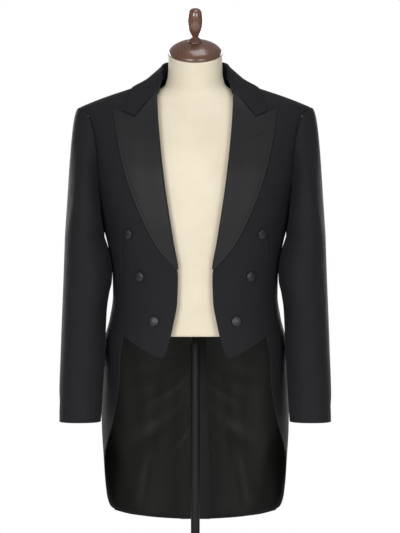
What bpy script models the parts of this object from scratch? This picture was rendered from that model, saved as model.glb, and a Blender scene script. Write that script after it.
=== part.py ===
"""White tie tailcoat standing on a limbless dress form.

Metres, +Z up. The coat's front faces -Y and the wearer's left is +X. The origin is on the floor, at the centre of
the base's underside. Heights in the tables are measured up from the coat's hem at the centre back.

Every body panel is a region of one body surface, whose points are named by an angle round the body, from 0 degrees
at the centre front to 180 at the centre back, and a height.
"""

import math
from collections import namedtuple

import bmesh
import bpy
from mathutils import Matrix, Vector

# ---------------------------------------------------------------------------------------------- driving dimensions

HEM_ABOVE_FLOOR = 0.24
CLOTH = 0.0020            # wool panels, thickness of the wall
FACED_CLOTH = 0.0016      # silk-faced lapel and collar
LINING_CLOTH = 0.0010
SEAM_GAP = 0.0005         # between two panels that are sewn together
ARMHOLE_GAP = 0.0036      # from a body panel's middle surface to the start of the sleeve wall
LAPEL_LIFT = 0.0038       # middle surface of lapel and collar above that of the body panels
LINING_LIFT = -0.0050
SQUARENESS = 2.35         # exponent of the body's rounded-square sections

NECK_SEAM_HEIGHT = 0.8985
SHOULDER_TIP_HEIGHT = 0.8445
SHOULDER_EASE = (-0.030, -0.015, 0.0, 0.015, 0.030)     # heights over which the shoulder line is eased
SHOULDER_EASE_POWER = 6                           # how close to the sides it stays sharp
ARMPIT_HEIGHT = 0.612
ARMHOLE_FRONT_REACH = 16.5   # degrees by which the armhole cuts into the forepart
ARMHOLE_BACK_REACH = 19.0
ARMHOLE_ROUNDNESS = 0.6

CUFF_HEIGHT = 0.217
SLEEVE_SEAM_RADIUS = 0.055         # mean radius at which the sleeve's seam gap is turned into an angle
HEAD_REACH_UNDER = 0.004           # how far the sleeve's head leaves the armhole before it turns down
HEAD_REACH_TOP = 0.014
HEAD_DRAWN_IN = 0.010              # how far the head's lower curve is drawn towards the body
HEAD_CURVE_SHARE = 0.62            # share of the head's drop given to its lower curve
SLEEVE_RING_HEIGHT = 0.585   # where the sleeve head ends and the level rings begin
SLEEVE_SQUARENESS = 2.2
FRONT_SLEEVE_SEAM = 118.0    # degrees round the sleeve, from outside through the front
HIND_SLEEVE_SEAM = 260.0

BUTTON_RADIUS = 0.010
BUTTON_DEPTH = 0.0055

FORM_HEM_HEIGHT = 0.386
NECK_TOP_HEIGHT = 0.9530
NECK_LEAN = 25.0             # degrees that the neck's top leans to the front
NECK_RADIUS = 0.0540
POLE_RADIUS = 0.009
BASE_RADIUS = 0.17
BASE_THICKNESS = 0.012
SOCKET_HEIGHT = 0.045
HARD_GAP = 0.0003                  # between the stand's and the form's touching pieces

# ------------------------------------------------------------------------------------------------- section tables

BodySection = namedtuple("BodySection", "height half_width front back centre_y")
BODY = (            # front and back are depths before and behind the section's centre
    BodySection(0.000, 0.1765, 0.160, 0.097, 0.040),
    BodySection(0.060, 0.1815, 0.160, 0.096, 0.040),
    BodySection(0.126, 0.1847, 0.160, 0.094, 0.040),
    BodySection(0.199, 0.1890, 0.159, 0.090, 0.040),
    BodySection(0.270, 0.1897, 0.157, 0.085, 0.039),
    BodySection(0.344, 0.1880, 0.149, 0.083, 0.030),
    BodySection(0.380, 0.1825, 0.134, 0.088, 0.017),
    BodySection(0.420, 0.1720, 0.120, 0.091, 0.005),
    BodySection(0.467, 0.1652, 0.115, 0.090, 0.000),
    BodySection(0.510, 0.1662, 0.118, 0.095, 0.000),
    BodySection(0.560, 0.1737, 0.124, 0.106, 0.000),
    BodySection(0.627, 0.1902, 0.130, 0.118, 0.000),
    BodySection(0.700, 0.2050, 0.128, 0.125, 0.000),
    BodySection(0.760, 0.2150, 0.115, 0.122, 0.000),
    BodySection(0.810, 0.2270, 0.097, 0.111, 0.000),
    BodySection(0.8300, 0.2335, 0.0880, 0.1033, 0.000),
    BodySection(0.8400, 0.2352, 0.0832, 0.0990, 0.000),
    BodySection(0.8445, 0.2330, 0.0808, 0.0969, 0.000),
    BodySection(0.8500, 0.2215, 0.0773, 0.0937, 0.000),
    BodySection(0.8654, 0.1825, 0.0672, 0.0840, 0.000),
    BodySection(0.8896, 0.1096, 0.056, 0.067, 0.000),
    BodySection(0.9000, 0.0790, 0.052, 0.061, 0.000),
)

SeamPoint = namedtuple("SeamPoint", "height angle")
SIDE_SEAM = (SeamPoint(0.38, 87.0), SeamPoint(0.50, 88.0), SeamPoint(ARMPIT_HEIGHT, 90.0))
BACK_SEAM = (
    SeamPoint(0.000, 162.5),
    SeamPoint(0.300, 160.0),
    SeamPoint(0.410, 156.0),
    SeamPoint(0.450, 153.0),
    SeamPoint(0.500, 147.0),
    SeamPoint(0.550, 139.0),
    SeamPoint(0.600, 130.0),
    SeamPoint(0.660, 117.0),
    SeamPoint(0.700, 109.0),
)
TAIL_FRONT_EDGE = (
    SeamPoint(0.0000, 107.0),
    SeamPoint(0.0246, 105.5),
    SeamPoint(0.0330, 101.0),
    SeamPoint(0.0550, 96.0),
    SeamPoint(0.0797, 93.0),
    SeamPoint(0.1260, 84.0),
    SeamPoint(0.1680, 70.0),
    SeamPoint(0.2260, 59.5),
    SeamPoint(0.3000, 55.0),
    SeamPoint(0.3900, 57.0),
)

EdgePoint = namedtuple("EdgePoint", "angle height")
WAIST_LINE = (
    EdgePoint(27.0, 0.345),
    EdgePoint(43.0, 0.366),
    EdgePoint(57.0, 0.386),
    EdgePoint(80.0, 0.404),
    EdgePoint(120.0, 0.413),
    EdgePoint(156.0, 0.418),
    EdgePoint(180.0, 0.418),
)
TAIL_HEM = (
    EdgePoint(95.0, 0.032),
    EdgePoint(105.0, 0.0246),
    EdgePoint(120.0, 0.012),
    EdgePoint(140.0, 0.004),
    EdgePoint(160.0, 0.001),
    EdgePoint(180.0, 0.000),
)

FrontEdge = namedtuple("FrontEdge", "height from_centre")
FRONT_EDGE = (      # the front opening, which is also the lapel's roll line
    FrontEdge(0.345, 0.0612),
    FrontEdge(0.377, 0.0512),
    FrontEdge(0.408, 0.0442),
    FrontEdge(0.455, 0.0360),
    FrontEdge(0.502, 0.0345),
    FrontEdge(0.565, 0.0422),
    FrontEdge(0.628, 0.0520),
    FrontEdge(0.691, 0.0610),
    FrontEdge(0.754, 0.0680),
    FrontEdge(0.819, 0.0733),
    FrontEdge(0.870, 0.0755),
)
FOREPART_NECK = (   # the forepart's edge above, set back under the collar
    FrontEdge(0.846, 0.0748),
    FrontEdge(0.860, 0.0812),
    FrontEdge(0.872, 0.0915),
    FrontEdge(0.885, 0.0930),
    FrontEdge(0.8985, 0.0822),
)
LAPEL_EDGE = (      # the lapel's outer edge, from its foot to the peak's tip
    FrontEdge(0.520, 0.0368),
    FrontEdge(0.540, 0.0550),
    FrontEdge(0.563, 0.0735),
    FrontEdge(0.616, 0.1020),
    FrontEdge(0.675, 0.1257),
    FrontEdge(0.727, 0.1416),
    FrontEdge(0.775, 0.1520),
    FrontEdge(0.837, 0.1625),
)
LAPEL_FOOT_HEIGHT = 0.520
GORGE = ((0.0755, 0.870), (0.0975, 0.8450), (0.1180, 0.8195))     # from_centre, height: roll line to notch
PEAK_TIP = (0.1625, 0.8370)

CollarStation = namedtuple("CollarStation", "along fold_x fold_y fold_height stand edge_angle edge_height")
COLLAR_FOOT_REACH = 0.0005         # from the fold line out to the stand's foot
COLLAR_STAND_SHORT = 0.0015        # the stand stops this far under the fold line
COLLAR_CREST_RISE = 0.0012
COLLAR_CREST_REACH = 0.0022
COLLAR_TURN_DROP = 0.0018          # where the fold ends and the fall begins
COLLAR_TURN_REACH = 0.0048
COLLAR_FALL_BULGE = 0.0030
COLLAR = (          # along: 0 at the centre back, 1 at the notch; the edge is the fall's outer edge
    CollarStation(0.00, 0.0000, 0.0640, 0.9430, 0.040, 180.0, 0.8840),
    CollarStation(0.15, 0.0285, 0.0590, 0.9420, 0.040, 158.0, 0.8850),
    CollarStation(0.30, 0.0500, 0.0440, 0.9400, 0.037, 136.0, 0.8880),
    CollarStation(0.45, 0.0625, 0.0190, 0.9340, 0.030, 112.0, 0.8900),
    CollarStation(0.60, 0.0670, -0.0080, 0.9210, 0.020, 88.0, 0.8905),
    CollarStation(0.80, 0.0718, -0.0375, 0.8970, 0.012, 68.7, 0.8660),
    CollarStation(0.90, 0.0742, -0.0525, 0.8805, 0.008, 63.5, 0.8405),
    CollarStation(0.92, 0.0748, -0.0555, 0.8775, 0.007, 63.2, 0.8350),
    CollarStation(0.94, 0.0753, -0.0575, 0.8760, 0.006, 61.5, 0.8318),
    CollarStation(1.00, 0.0765, -0.0620, 0.8725, 0.004, 55.4, 0.8225),
)

SleeveSection = namedtuple("SleeveSection", "height outer_x inner_x centre_y half_depth")
SLEEVE = (
    SleeveSection(0.2170, 0.2695, 0.1890, -0.062, 0.052),
    SleeveSection(0.2594, 0.2697, 0.1863, -0.057, 0.055),
    SleeveSection(0.3560, 0.2668, 0.1812, -0.046, 0.061),
    SleeveSection(0.4370, 0.2645, 0.1782, -0.037, 0.066),
    SleeveSection(0.4715, 0.2634, 0.1735, -0.034, 0.069),
    SleeveSection(0.4960, 0.2627, 0.1682, -0.033, 0.071),
    SleeveSection(0.5150, 0.2622, 0.1675, -0.032, 0.073),
    SleeveSection(0.5500, 0.2614, 0.1735, -0.028, 0.076),
    SleeveSection(0.5850, 0.2605, 0.1852, -0.020, 0.079),
)

FormSection = namedtuple("FormSection", "height half_width front back centre_y lean squareness")
FORM = (
    FormSection(0.386, 0.156, 0.094, 0.084, 0.000, 0.0, 2.3),
    FormSection(0.392, 0.159, 0.097, 0.087, 0.000, 0.0, 2.3),
    FormSection(0.420, 0.154, 0.097, 0.081, 0.000, 0.0, 2.3),
    FormSection(0.467, 0.150, 0.099, 0.076, 0.000, 0.0, 2.3),
    FormSection(0.560, 0.160, 0.109, 0.091, 0.000, 0.0, 2.3),
    FormSection(0.627, 0.172, 0.115, 0.102, 0.000, 0.0, 2.3),
    FormSection(0.700, 0.183, 0.113, 0.109, 0.000, 0.0, 2.3),
    FormSection(0.760, 0.189, 0.100, 0.106, 0.000, 0.0, 2.3),
    FormSection(0.805, 0.187, 0.084, 0.095, 0.000, 0.0, 2.3),
    FormSection(0.835, 0.175, 0.069, 0.081, 0.000, 0.0, 2.3),
    FormSection(0.858, 0.135, 0.057, 0.068, 0.000, 0.0, 2.3),
    FormSection(0.876, 0.088, 0.052, 0.055, -0.001, 5.0, 2.1),
    FormSection(0.892, 0.0605, 0.0510, 0.0500, -0.004, 11.0, 2.0),
    FormSection(0.915, 0.0548, 0.0500, 0.0490, -0.008, 18.0, 2.0),
    FormSection(NECK_TOP_HEIGHT, NECK_RADIUS, 0.0504, 0.0504, -0.014, NECK_LEAN, 2.0),
)

# Levels that the rows of neighbouring panels share, so that their sewn edges bend at the same places.
UNDERARM_LEVELS = (0.418, 0.45, 0.485, 0.52, 0.555, 0.585, ARMPIT_HEIGHT - 0.0005)
ARMHOLE_LEVELS = (0.6145, 0.622, 0.637, 0.660, 0.682, 0.700, 0.740, 0.780, 0.810, 0.832, 0.842)
TAIL_ROWS = 11
SHOULDER_LEVELS = (SHOULDER_TIP_HEIGHT, 0.852, 0.864, 0.876, 0.888, NECK_SEAM_HEIGHT)

BUTTON_PLACES = ((0.0806, 0.4164), (0.1090, 0.5050), (0.1315, 0.5890))     # from_centre, height
BACK_BUTTON_PLACE = (0.036, 0.428)

WELT_OUTER_X = 0.180
WELT_BOTTOM = 0.656
WELT_HEIGHT = 0.026

VENT_STRIP_TOP_WIDTH = 0.020
VENT_STRIP_HEM_WIDTH = 0.036
LINING_TOP = 0.398

# ------------------------------------------------------------------------------------------------ reading tables


def read(table, at, field):
    """Value of a table's column at a place along its first column, on a smooth curve through the rows."""
    keys = [row[0] for row in table]
    values = [getattr(row, field) for row in table]
    if at <= keys[0]:
        return values[0]
    if at >= keys[-1]:
        return values[-1]
    i = max(k for k in range(len(keys) - 1) if keys[k] <= at)

    def slope(k):
        if k == 0 or k == len(keys) - 1:
            low, high = max(k - 1, 0), min(k + 1, len(keys) - 1)
            return (values[high] - values[low]) / (keys[high] - keys[low])
        before = (values[k] - values[k - 1]) / (keys[k] - keys[k - 1])
        after = (values[k + 1] - values[k]) / (keys[k + 1] - keys[k])
        if before * after <= 0.0:
            return 0.0
        return 2.0 * before * after / (before + after)

    span = keys[i + 1] - keys[i]
    t = (at - keys[i]) / span
    return (
        (2 * t**3 - 3 * t**2 + 1) * values[i]
        + (t**3 - 2 * t**2 + t) * span * slope(i)
        + (3 * t**2 - 2 * t**3) * values[i + 1]
        + (t**3 - t**2) * span * slope(i + 1)
    )


def mix(a, b, t):
    return a + (b - a) * t


def fractions(count):
    return [k / (count - 1) for k in range(count)]


# ---------------------------------------------------------------------------------------------- the body surface


def section_point(half_width, front, back, squareness, angle):
    """Point of a rounded-square section, at an angle in degrees from the front."""
    s, c = math.sin(math.radians(angle)), math.cos(math.radians(angle))
    depth = front if c > 0.0 else back
    radius = (abs(s / half_width) ** squareness + abs(c / depth) ** squareness) ** (-1.0 / squareness)
    return radius * s, -radius * c


def half_width(angle, height):
    """The section's half-width: the shoulder line's sharp turn is kept at the sides and eased away from them."""
    sharp = read(BODY, height, "half_width")
    eased = sum(read(BODY, height + step, "half_width") for step in SHOULDER_EASE) / len(SHOULDER_EASE)
    return mix(eased, sharp, abs(math.sin(math.radians(angle))) ** SHOULDER_EASE_POWER)


def body_middle(angle, height):
    x, y = section_point(
        half_width(angle, height), read(BODY, height, "front"), read(BODY, height, "back"), SQUARENESS, angle
    )
    return Vector((x, read(BODY, height, "centre_y") + y, HEM_ABOVE_FLOOR + height))


def body_point(angle, height, lift=0.0):
    """Point of the body surface, moved out along the surface's normal, and that normal."""
    step_angle, step_height = 0.6, 0.0015
    along = body_middle(angle + step_angle, height) - body_middle(angle - step_angle, height)
    up = body_middle(angle, height + step_height) - body_middle(angle, height - step_height)
    normal = along.cross(up).normalized()
    return body_middle(angle, height) + normal * lift, normal


def angle_at(from_centre, height, centre, side):
    """Angle between the centre line's and the side's at which the body is this far from the centre, by halving."""
    for _ in range(26):
        middle = (centre + side) / 2
        centre, side = (middle, side) if body_middle(middle, height).x < from_centre else (centre, middle)
    return (centre + side) / 2


def front_angle(from_centre, height):
    return angle_at(from_centre, height, 0.0, 90.0)


def back_angle(from_centre, height):
    return angle_at(from_centre, height, 180.0, 90.0)


def armhole_angle(height, reach):
    """Angle of the armhole's edge; reach is negative on the front, positive on the back."""
    middle = (SHOULDER_TIP_HEIGHT + ARMPIT_HEIGHT) / 2
    half = (SHOULDER_TIP_HEIGHT - ARMPIT_HEIGHT) / 2
    share = max(0.0, 1.0 - ((height - middle) / half) ** 2)
    return 90.0 + reach * math.sqrt(share) ** ARMHOLE_ROUNDNESS


def gap_angle(angle, height):
    """Half of a seam's gap, as an angle at this place."""
    return math.degrees(SEAM_GAP / 2 / body_middle(angle, height).xy.length)


def forepart_inner(height):
    edge = FRONT_EDGE if height < FOREPART_NECK[0].height else FOREPART_NECK
    return front_angle(read(edge, height, "from_centre"), height)


def forepart_outer(height):
    if height < ARMPIT_HEIGHT:
        angle = read(SIDE_SEAM, height, "angle")
    elif height < SHOULDER_TIP_HEIGHT:
        angle = armhole_angle(height, -ARMHOLE_FRONT_REACH)
    else:
        angle = 90.0
    return angle - gap_angle(angle, height)


def sidebody_front(height):
    angle = read(SIDE_SEAM, height, "angle") if height < ARMPIT_HEIGHT else armhole_angle(height, ARMHOLE_BACK_REACH)
    return angle + gap_angle(angle, height)


def sidebody_back(height):
    angle = read(BACK_SEAM, height, "angle")
    return angle - gap_angle(angle, height)


def back_outer(height):
    if height < BACK_SEAM[-1].height:
        angle = read(BACK_SEAM, height, "angle")
    elif height < SHOULDER_TIP_HEIGHT:
        angle = armhole_angle(height, ARMHOLE_BACK_REACH)
    else:
        angle = 90.0
    return angle + gap_angle(angle, height)


def back_centre(height):
    return 180.0 - gap_angle(180.0, height)


# ------------------------------------------------------------------------------------------------ making objects


def clear_scene():
    for item in list(bpy.data.objects):
        bpy.data.objects.remove(item)


def finish_material(name, colour, roughness, metallic=0.0):
    material = bpy.data.materials.new(name)
    material.use_nodes = True
    shader = material.node_tree.nodes["Principled BSDF"]
    shader.inputs["Base Color"].default_value = (*colour, 1.0)
    shader.inputs["Roughness"].default_value = roughness
    shader.inputs["Metallic"].default_value = metallic
    return material


FINISHES = {        # colour, roughness, metallic
    "wool": ((0.020, 0.020, 0.022), 0.85, 0.0),
    "silk": ((0.024, 0.024, 0.027), 0.42, 0.0),
    "lining": ((0.013, 0.013, 0.011), 0.38, 0.0),
    "jersey": ((0.80, 0.75, 0.62), 0.80, 0.0),
    "walnut": ((0.090, 0.035, 0.018), 0.28, 0.0),
    "black_metal": ((0.012, 0.012, 0.012), 0.55, 0.6),
}


def add_mesh(name, points, faces, finish, sharp_angle=40.0):
    """Makes a named object from one closed mesh, with its faces turned outwards and a material of its own."""
    mesh = bpy.data.meshes.new(name)
    bm = bmesh.new()
    corners = [bm.verts.new(point) for point in points]
    for face in faces:
        bm.faces.new([corners[i] for i in face])
    bmesh.ops.triangulate(bm, faces=bm.faces)
    bmesh.ops.recalc_face_normals(bm, faces=bm.faces)
    bm.to_mesh(mesh)
    bm.free()
    mesh.shade_smooth()
    mesh.set_sharp_from_angle(angle=math.radians(sharp_angle))
    mesh.materials.append(finish_material(name + "_finish", *FINISHES[finish]))
    item = bpy.data.objects.new(name, mesh)
    bpy.context.scene.collection.objects.link(item)
    return item


def cloth_wall(name, rows, thickness, finish, side=1):
    """Closed wall round a grid of (point, normal) pairs; side -1 mirrors it to the wearer's right."""
    height, width = len(rows), len(rows[0])
    points = []
    for direction in (0.5, -0.5):
        for row in rows:
            for point, normal in row:
                moved = point + normal * (thickness * direction)
                points.append((side * moved.x, moved.y, moved.z))

    def number(layer, i, j):
        return layer * height * width + i * width + j

    faces = []
    for i in range(height - 1):
        for j in range(width - 1):
            faces.append([number(0, i, j), number(0, i, j + 1), number(0, i + 1, j + 1), number(0, i + 1, j)])
            faces.append([number(1, i, j), number(1, i + 1, j), number(1, i + 1, j + 1), number(1, i, j + 1)])
    rim = [(0, j) for j in range(width)] + [(i, width - 1) for i in range(1, height)]
    rim += [(height - 1, j) for j in range(width - 2, -1, -1)] + [(i, 0) for i in range(height - 2, 0, -1)]
    for (i, j), (k, m) in zip(rim, rim[1:] + rim[:1]):
        faces.append([number(0, i, j), number(1, i, j), number(1, k, m), number(0, k, m)])
    return add_mesh(name, points, faces, finish)


def turned(name, profile, segments, place, finish, sharp_angle=40.0):
    """Solid of revolution about +Z from (radius, height) pairs that start and end on the axis, then placed."""
    points, faces, rings = [], [], []
    for radius, height in profile:
        if radius == 0.0:
            points.append(place @ Vector((0.0, 0.0, height)))
            rings.append([len(points) - 1])
            continue
        ring = []
        for k in range(segments):
            turn = 2 * math.pi * k / segments
            points.append(place @ Vector((radius * math.cos(turn), radius * math.sin(turn), height)))
            ring.append(len(points) - 1)
        rings.append(ring)
    for low, high in zip(rings, rings[1:]):
        for k in range(segments):
            m = (k + 1) % segments
            if len(low) == 1:
                faces.append([low[0], high[k], high[m]])
            elif len(high) == 1:
                faces.append([low[k], low[m], high[0]])
            else:
                faces.append([low[k], low[m], high[m], high[k]])
    return add_mesh(name, points, faces, finish, sharp_angle)


def placed_on(point, normal):
    """Matrix that stands a turned solid on a surface point."""
    return Matrix.Translation(point) @ normal.to_track_quat("Z", "Y").to_matrix().to_4x4()


# --------------------------------------------------------------------------------------------------- body panels


def panel_rows(heights, columns, left, right, floor_line=None, fade_to=0.60):
    """Grid of a body panel between two seams; a floor_line bends its lowest rows to follow a sloping edge."""
    lowest = heights[0]

    def settle(angle, nominal):
        if floor_line is None:
            return nominal
        fade = max(0.0, (fade_to - nominal) / (fade_to - lowest))
        return nominal + (read(floor_line, angle, "height") + SEAM_GAP / 2 - lowest) * fade

    rows = []
    for nominal in heights:
        left_angle, right_angle = left(nominal), right(nominal)
        for _ in range(3):
            left_angle = left(settle(left_angle, nominal))
            right_angle = right(settle(right_angle, nominal))
        angles = [mix(left_angle, right_angle, s) for s in fractions(columns)]
        rows.append([body_point(angle, settle(angle, nominal)) for angle in angles])
    return rows


def make_foreparts():
    heights = [0.345, 0.375, 0.41, *UNDERARM_LEVELS[1:], *ARMHOLE_LEVELS, *SHOULDER_LEVELS]
    for name, side in (("forepart_left", 1), ("forepart_right", -1)):
        rows = panel_rows(heights, 10, forepart_inner, forepart_outer, WAIST_LINE)
        cloth_wall(name, rows, CLOTH, "wool", side)


def make_sidebodies():
    heights = [*UNDERARM_LEVELS, *ARMHOLE_LEVELS[:5]]
    for name, side in (("sidebody_left", 1), ("sidebody_right", -1)):
        rows = panel_rows(heights, 6, sidebody_front, sidebody_back, WAIST_LINE, 0.50)
        cloth_wall(name, rows, CLOTH, "wool", side)


def make_backs():
    heights = [UNDERARM_LEVELS[0] * t for t in fractions(TAIL_ROWS)]
    heights += [*UNDERARM_LEVELS[1:], *ARMHOLE_LEVELS, *SHOULDER_LEVELS]
    for name, side in (("back_left", 1), ("back_right", -1)):
        cloth_wall(name, panel_rows(heights, 6, back_outer, back_centre), CLOTH, "wool", side)


def skirt_rows(levels, columns, left, right, bottom, top, lift):
    """Grid of a tail piece, between two angle functions of height and two height functions of angle."""
    rows = []
    for t in levels:
        height = mix(bottom(120.0), top(120.0), t)
        row = []
        for s in fractions(columns):
            angle, level = 120.0, height
            for _ in range(4):
                angle = mix(left(level), right(level), s)
                level = mix(bottom(angle), top(angle), t)
            row.append(body_point(angle, level, lift))
        rows.append(row)
    return rows


def tail_front(height):
    return read(TAIL_FRONT_EDGE, height, "angle")


def tail_back(height):
    angle = read(BACK_SEAM, height, "angle")
    return angle - gap_angle(angle, height)


def make_tails():
    def hem(angle):
        return read(TAIL_HEM, angle, "height")

    def waist(angle):
        return read(WAIST_LINE, angle, "height") - SEAM_GAP / 2

    for name, side in (("tail_left", 1), ("tail_right", -1)):
        rows = skirt_rows(fractions(TAIL_ROWS), 13, tail_front, tail_back, hem, waist, 0.0)
        cloth_wall(name, rows, CLOTH, "wool", side)


def strip_edge(height):
    """Angle of the vent strip's outer edge inside the tails."""
    width = mix(VENT_STRIP_HEM_WIDTH, VENT_STRIP_TOP_WIDTH, height / LINING_TOP)
    return back_angle(width, height)


def make_linings():
    def hem(angle):
        return read(TAIL_HEM, angle, "height") + 0.010

    def top(_):
        return LINING_TOP

    def front(height):
        return tail_front(height) + 5.0

    def centre(height):
        return 180.0 - gap_angle(180.0, height)

    def beside_strip(height):
        return strip_edge(height) - 2 * gap_angle(180.0, height)

    for name, side, inner in (("tail_lining_left", 1, beside_strip), ("tail_lining_right", -1, centre)):
        rows = skirt_rows(fractions(8), 12, front, inner, hem, top, LINING_LIFT)
        cloth_wall(name, rows, LINING_CLOTH, "lining", side)
    rows = skirt_rows(fractions(8), 3, strip_edge, centre, hem, top, LINING_LIFT)
    cloth_wall("vent_facing", rows, CLOTH, "wool", 1)


# ---------------------------------------------------------------------------------------- lapels, collar, pocket


def on_front(from_centre, height, lift):
    return body_point(front_angle(from_centre, height), height, lift)


def lapel_point(s, t):
    """Point of the lapel: s runs from the roll line to the outer edge, t from the foot to the gorge."""
    edge_height = mix(LAPEL_FOOT_HEIGHT, PEAK_TIP[1], t)
    roll_height = mix(LAPEL_FOOT_HEIGHT, GORGE[0][1], t)
    inner = Vector((read(FRONT_EDGE, roll_height, "from_centre"), roll_height))
    outer = Vector((read(LAPEL_EDGE, edge_height, "from_centre"), edge_height))
    if s < 0.5:
        top = Vector(GORGE[0]).lerp(Vector(GORGE[2]), s / 0.5)
    else:
        top = Vector(GORGE[2]).lerp(Vector(PEAK_TIP), (s - 0.5) / 0.5)
    straight_top = Vector(GORGE[0]).lerp(Vector(PEAK_TIP), s)
    place = inner.lerp(outer, s) + (top - straight_top) * t**3
    return on_front(place.x, place.y, LAPEL_LIFT)


def make_lapels():
    for name, side in (("lapel_left", 1), ("lapel_right", -1)):
        rows = [[lapel_point(s, t) for s in fractions(9)] for t in fractions(11)]
        cloth_wall(name, rows, FACED_CLOTH, "silk", side)


def raised_off_body(point, lift):
    """The point, moved out along the body's normal where it is closer to the shoulder surface than the lift."""
    angle = math.degrees(math.atan2(point.x, -point.y))
    low, high = ARMPIT_HEIGHT, BODY[-1].height
    for _ in range(26):
        height = (low + high) / 2
        outside = point.xy.length > body_middle(angle, height).xy.length
        low, high = (low, height) if outside else (height, high)
    surface, normal = body_point(angle, height)
    distance = (point - surface).dot(normal)
    return point + normal * max(0.0, lift - distance)


def collar_path(along):
    """Cross-section of the collar at a station: up the stand, over the fold and down the fall."""
    station = abs(along)
    side = 1.0 if along >= 0.0 else -1.0
    fold = Vector((read(COLLAR, station, "fold_x"), read(COLLAR, station, "fold_y"), 0.0))
    fold.z = HEM_ABOVE_FLOOR + read(COLLAR, station, "fold_height")
    stand = read(COLLAR, station, "stand")
    edge, edge_normal = body_point(
        read(COLLAR, station, "edge_angle"), read(COLLAR, station, "edge_height"), LAPEL_LIFT
    )
    outward = Vector((edge.x - fold.x, edge.y - fold.y, 0.0)).normalized()
    foot = fold - Vector((0.0, 0.0, stand)) - outward * COLLAR_FOOT_REACH
    crest = fold + Vector((0.0, 0.0, COLLAR_CREST_RISE)) + outward * COLLAR_CREST_REACH
    shoulder = fold + outward * COLLAR_TURN_REACH - Vector((0.0, 0.0, COLLAR_TURN_DROP))
    bulge = shoulder.lerp(edge, 0.5) + (edge_normal + Vector((0.0, 0.0, 0.6))).normalized() * COLLAR_FALL_BULGE
    path = [foot, foot.lerp(fold, 0.5), fold - Vector((0.0, 0.0, COLLAR_STAND_SHORT)), crest, shoulder]
    for t in (0.35, 0.70, 1.0):
        path.append(raised_off_body(shoulder.lerp(bulge, t).lerp(bulge.lerp(edge, t), t), LAPEL_LIFT))
    return [Vector((side * p.x, p.y, p.z)) for p in path]


def make_collar():
    stations = [mix(-1.0, 1.0, t) for t in fractions(25)]
    paths = [collar_path(along) for along in stations]
    rows = []
    last_row, last_column = len(paths) - 1, len(paths[0]) - 1
    for i, path in enumerate(paths):
        row = []
        for j, point in enumerate(path):
            along = paths[min(i + 1, last_row)][j] - paths[max(i - 1, 0)][j]
            across = path[min(j + 1, last_column)] - path[max(j - 1, 0)]
            row.append((point, across.cross(along).normalized()))
        rows.append(row)
    cloth_wall("collar", rows, FACED_CLOTH, "wool")


def make_breast_welt():
    rows = []
    for t in fractions(3):
        row = []
        for s in fractions(5):
            height = WELT_BOTTOM + WELT_HEIGHT * t + 0.004 * s
            beside_lapel = read(LAPEL_EDGE, height, "from_centre") + 0.0015
            from_centre = mix(beside_lapel, WELT_OUTER_X, s)
            row.append(on_front(from_centre, height, CLOTH / 2 + 0.0008 + FACED_CLOTH / 2))
        rows.append(row)
    cloth_wall("breast_welt", rows, FACED_CLOTH, "wool")


def make_buttons():
    profile = [(0.0, 0.0), (0.7 * BUTTON_RADIUS, 0.0), (BUTTON_RADIUS, 0.3 * BUTTON_DEPTH)]
    profile += [(0.93 * BUTTON_RADIUS, 0.65 * BUTTON_DEPTH), (0.55 * BUTTON_RADIUS, 0.95 * BUTTON_DEPTH)]
    profile += [(0.0, BUTTON_DEPTH)]
    lift = CLOTH / 2 + 0.0008
    for side_name, side in (("left", 1), ("right", -1)):
        places = [("front_button", k + 1, *on_front(*place, lift)) for k, place in enumerate(BUTTON_PLACES)]
        at, height = BACK_BUTTON_PLACE
        places.append(("back_button", 1, *body_point(back_angle(at, height), height, lift)))
        for kind, number, point, normal in places:
            matrix = placed_on(Vector((side * point.x, point.y, point.z)), Vector((side * normal.x, *normal.yz)))
            turned(f"{kind}_{side_name}_{number}", profile, 12, matrix, "silk")


# ------------------------------------------------------------------------------------------------------- sleeves


def sleeve_ring_point(turn, height):
    """Point of a level sleeve section; turn runs in degrees from the outside through the front."""
    outer, inner = read(SLEEVE, height, "outer_x"), read(SLEEVE, height, "inner_x")
    half_depth = read(SLEEVE, height, "half_depth")
    x, y = section_point(half_depth, (outer - inner) / 2, (outer - inner) / 2, SLEEVE_SQUARENESS, turn)
    return Vector(((outer + inner) / 2 - y, read(SLEEVE, height, "centre_y") - x, HEM_ABOVE_FLOOR + height))


def armhole_point(turn):
    """Point of the armhole's edge on the body that a turn of the sleeve is sewn to, and the body's normal."""
    middle = (SHOULDER_TIP_HEIGHT + ARMPIT_HEIGHT) / 2
    half = (SHOULDER_TIP_HEIGHT - ARMPIT_HEIGHT) / 2
    height = middle + half * math.cos(math.radians(turn))
    reach = -ARMHOLE_FRONT_REACH if turn <= 180.0 else ARMHOLE_BACK_REACH
    return body_point(armhole_angle(height, reach), height)


def sleeve_point(turn, down):
    """Point of the sleeve's middle surface: down is 0 at the armhole, 1 at the first level ring, 2 at the cuff."""
    turn = turn % 360.0
    if down >= 1.0:
        return sleeve_ring_point(turn, mix(SLEEVE_RING_HEIGHT, CUFF_HEIGHT, down - 1.0))
    seam, normal = armhole_point(turn)
    ring = sleeve_ring_point(turn, SLEEVE_RING_HEIGHT)
    topness = 0.5 + 0.5 * math.cos(math.radians(turn))
    sideways = abs(math.sin(math.radians(turn)))
    leaving = Vector((1.0, 0.0, -0.10 * topness)).lerp(normal, 0.8 * sideways).normalized()
    start = seam + leaving * ARMHOLE_GAP
    first = start + leaving * mix(HEAD_REACH_UNDER, HEAD_REACH_TOP, topness)
    second = ring + Vector((-HEAD_DRAWN_IN * topness, 0.0, HEAD_CURVE_SHARE * (seam.z - ring.z)))
    t = down
    return start * (1 - t) ** 3 + first * 3 * t * (1 - t) ** 2 + second * 3 * t**2 * (1 - t) + ring * t**3


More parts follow.
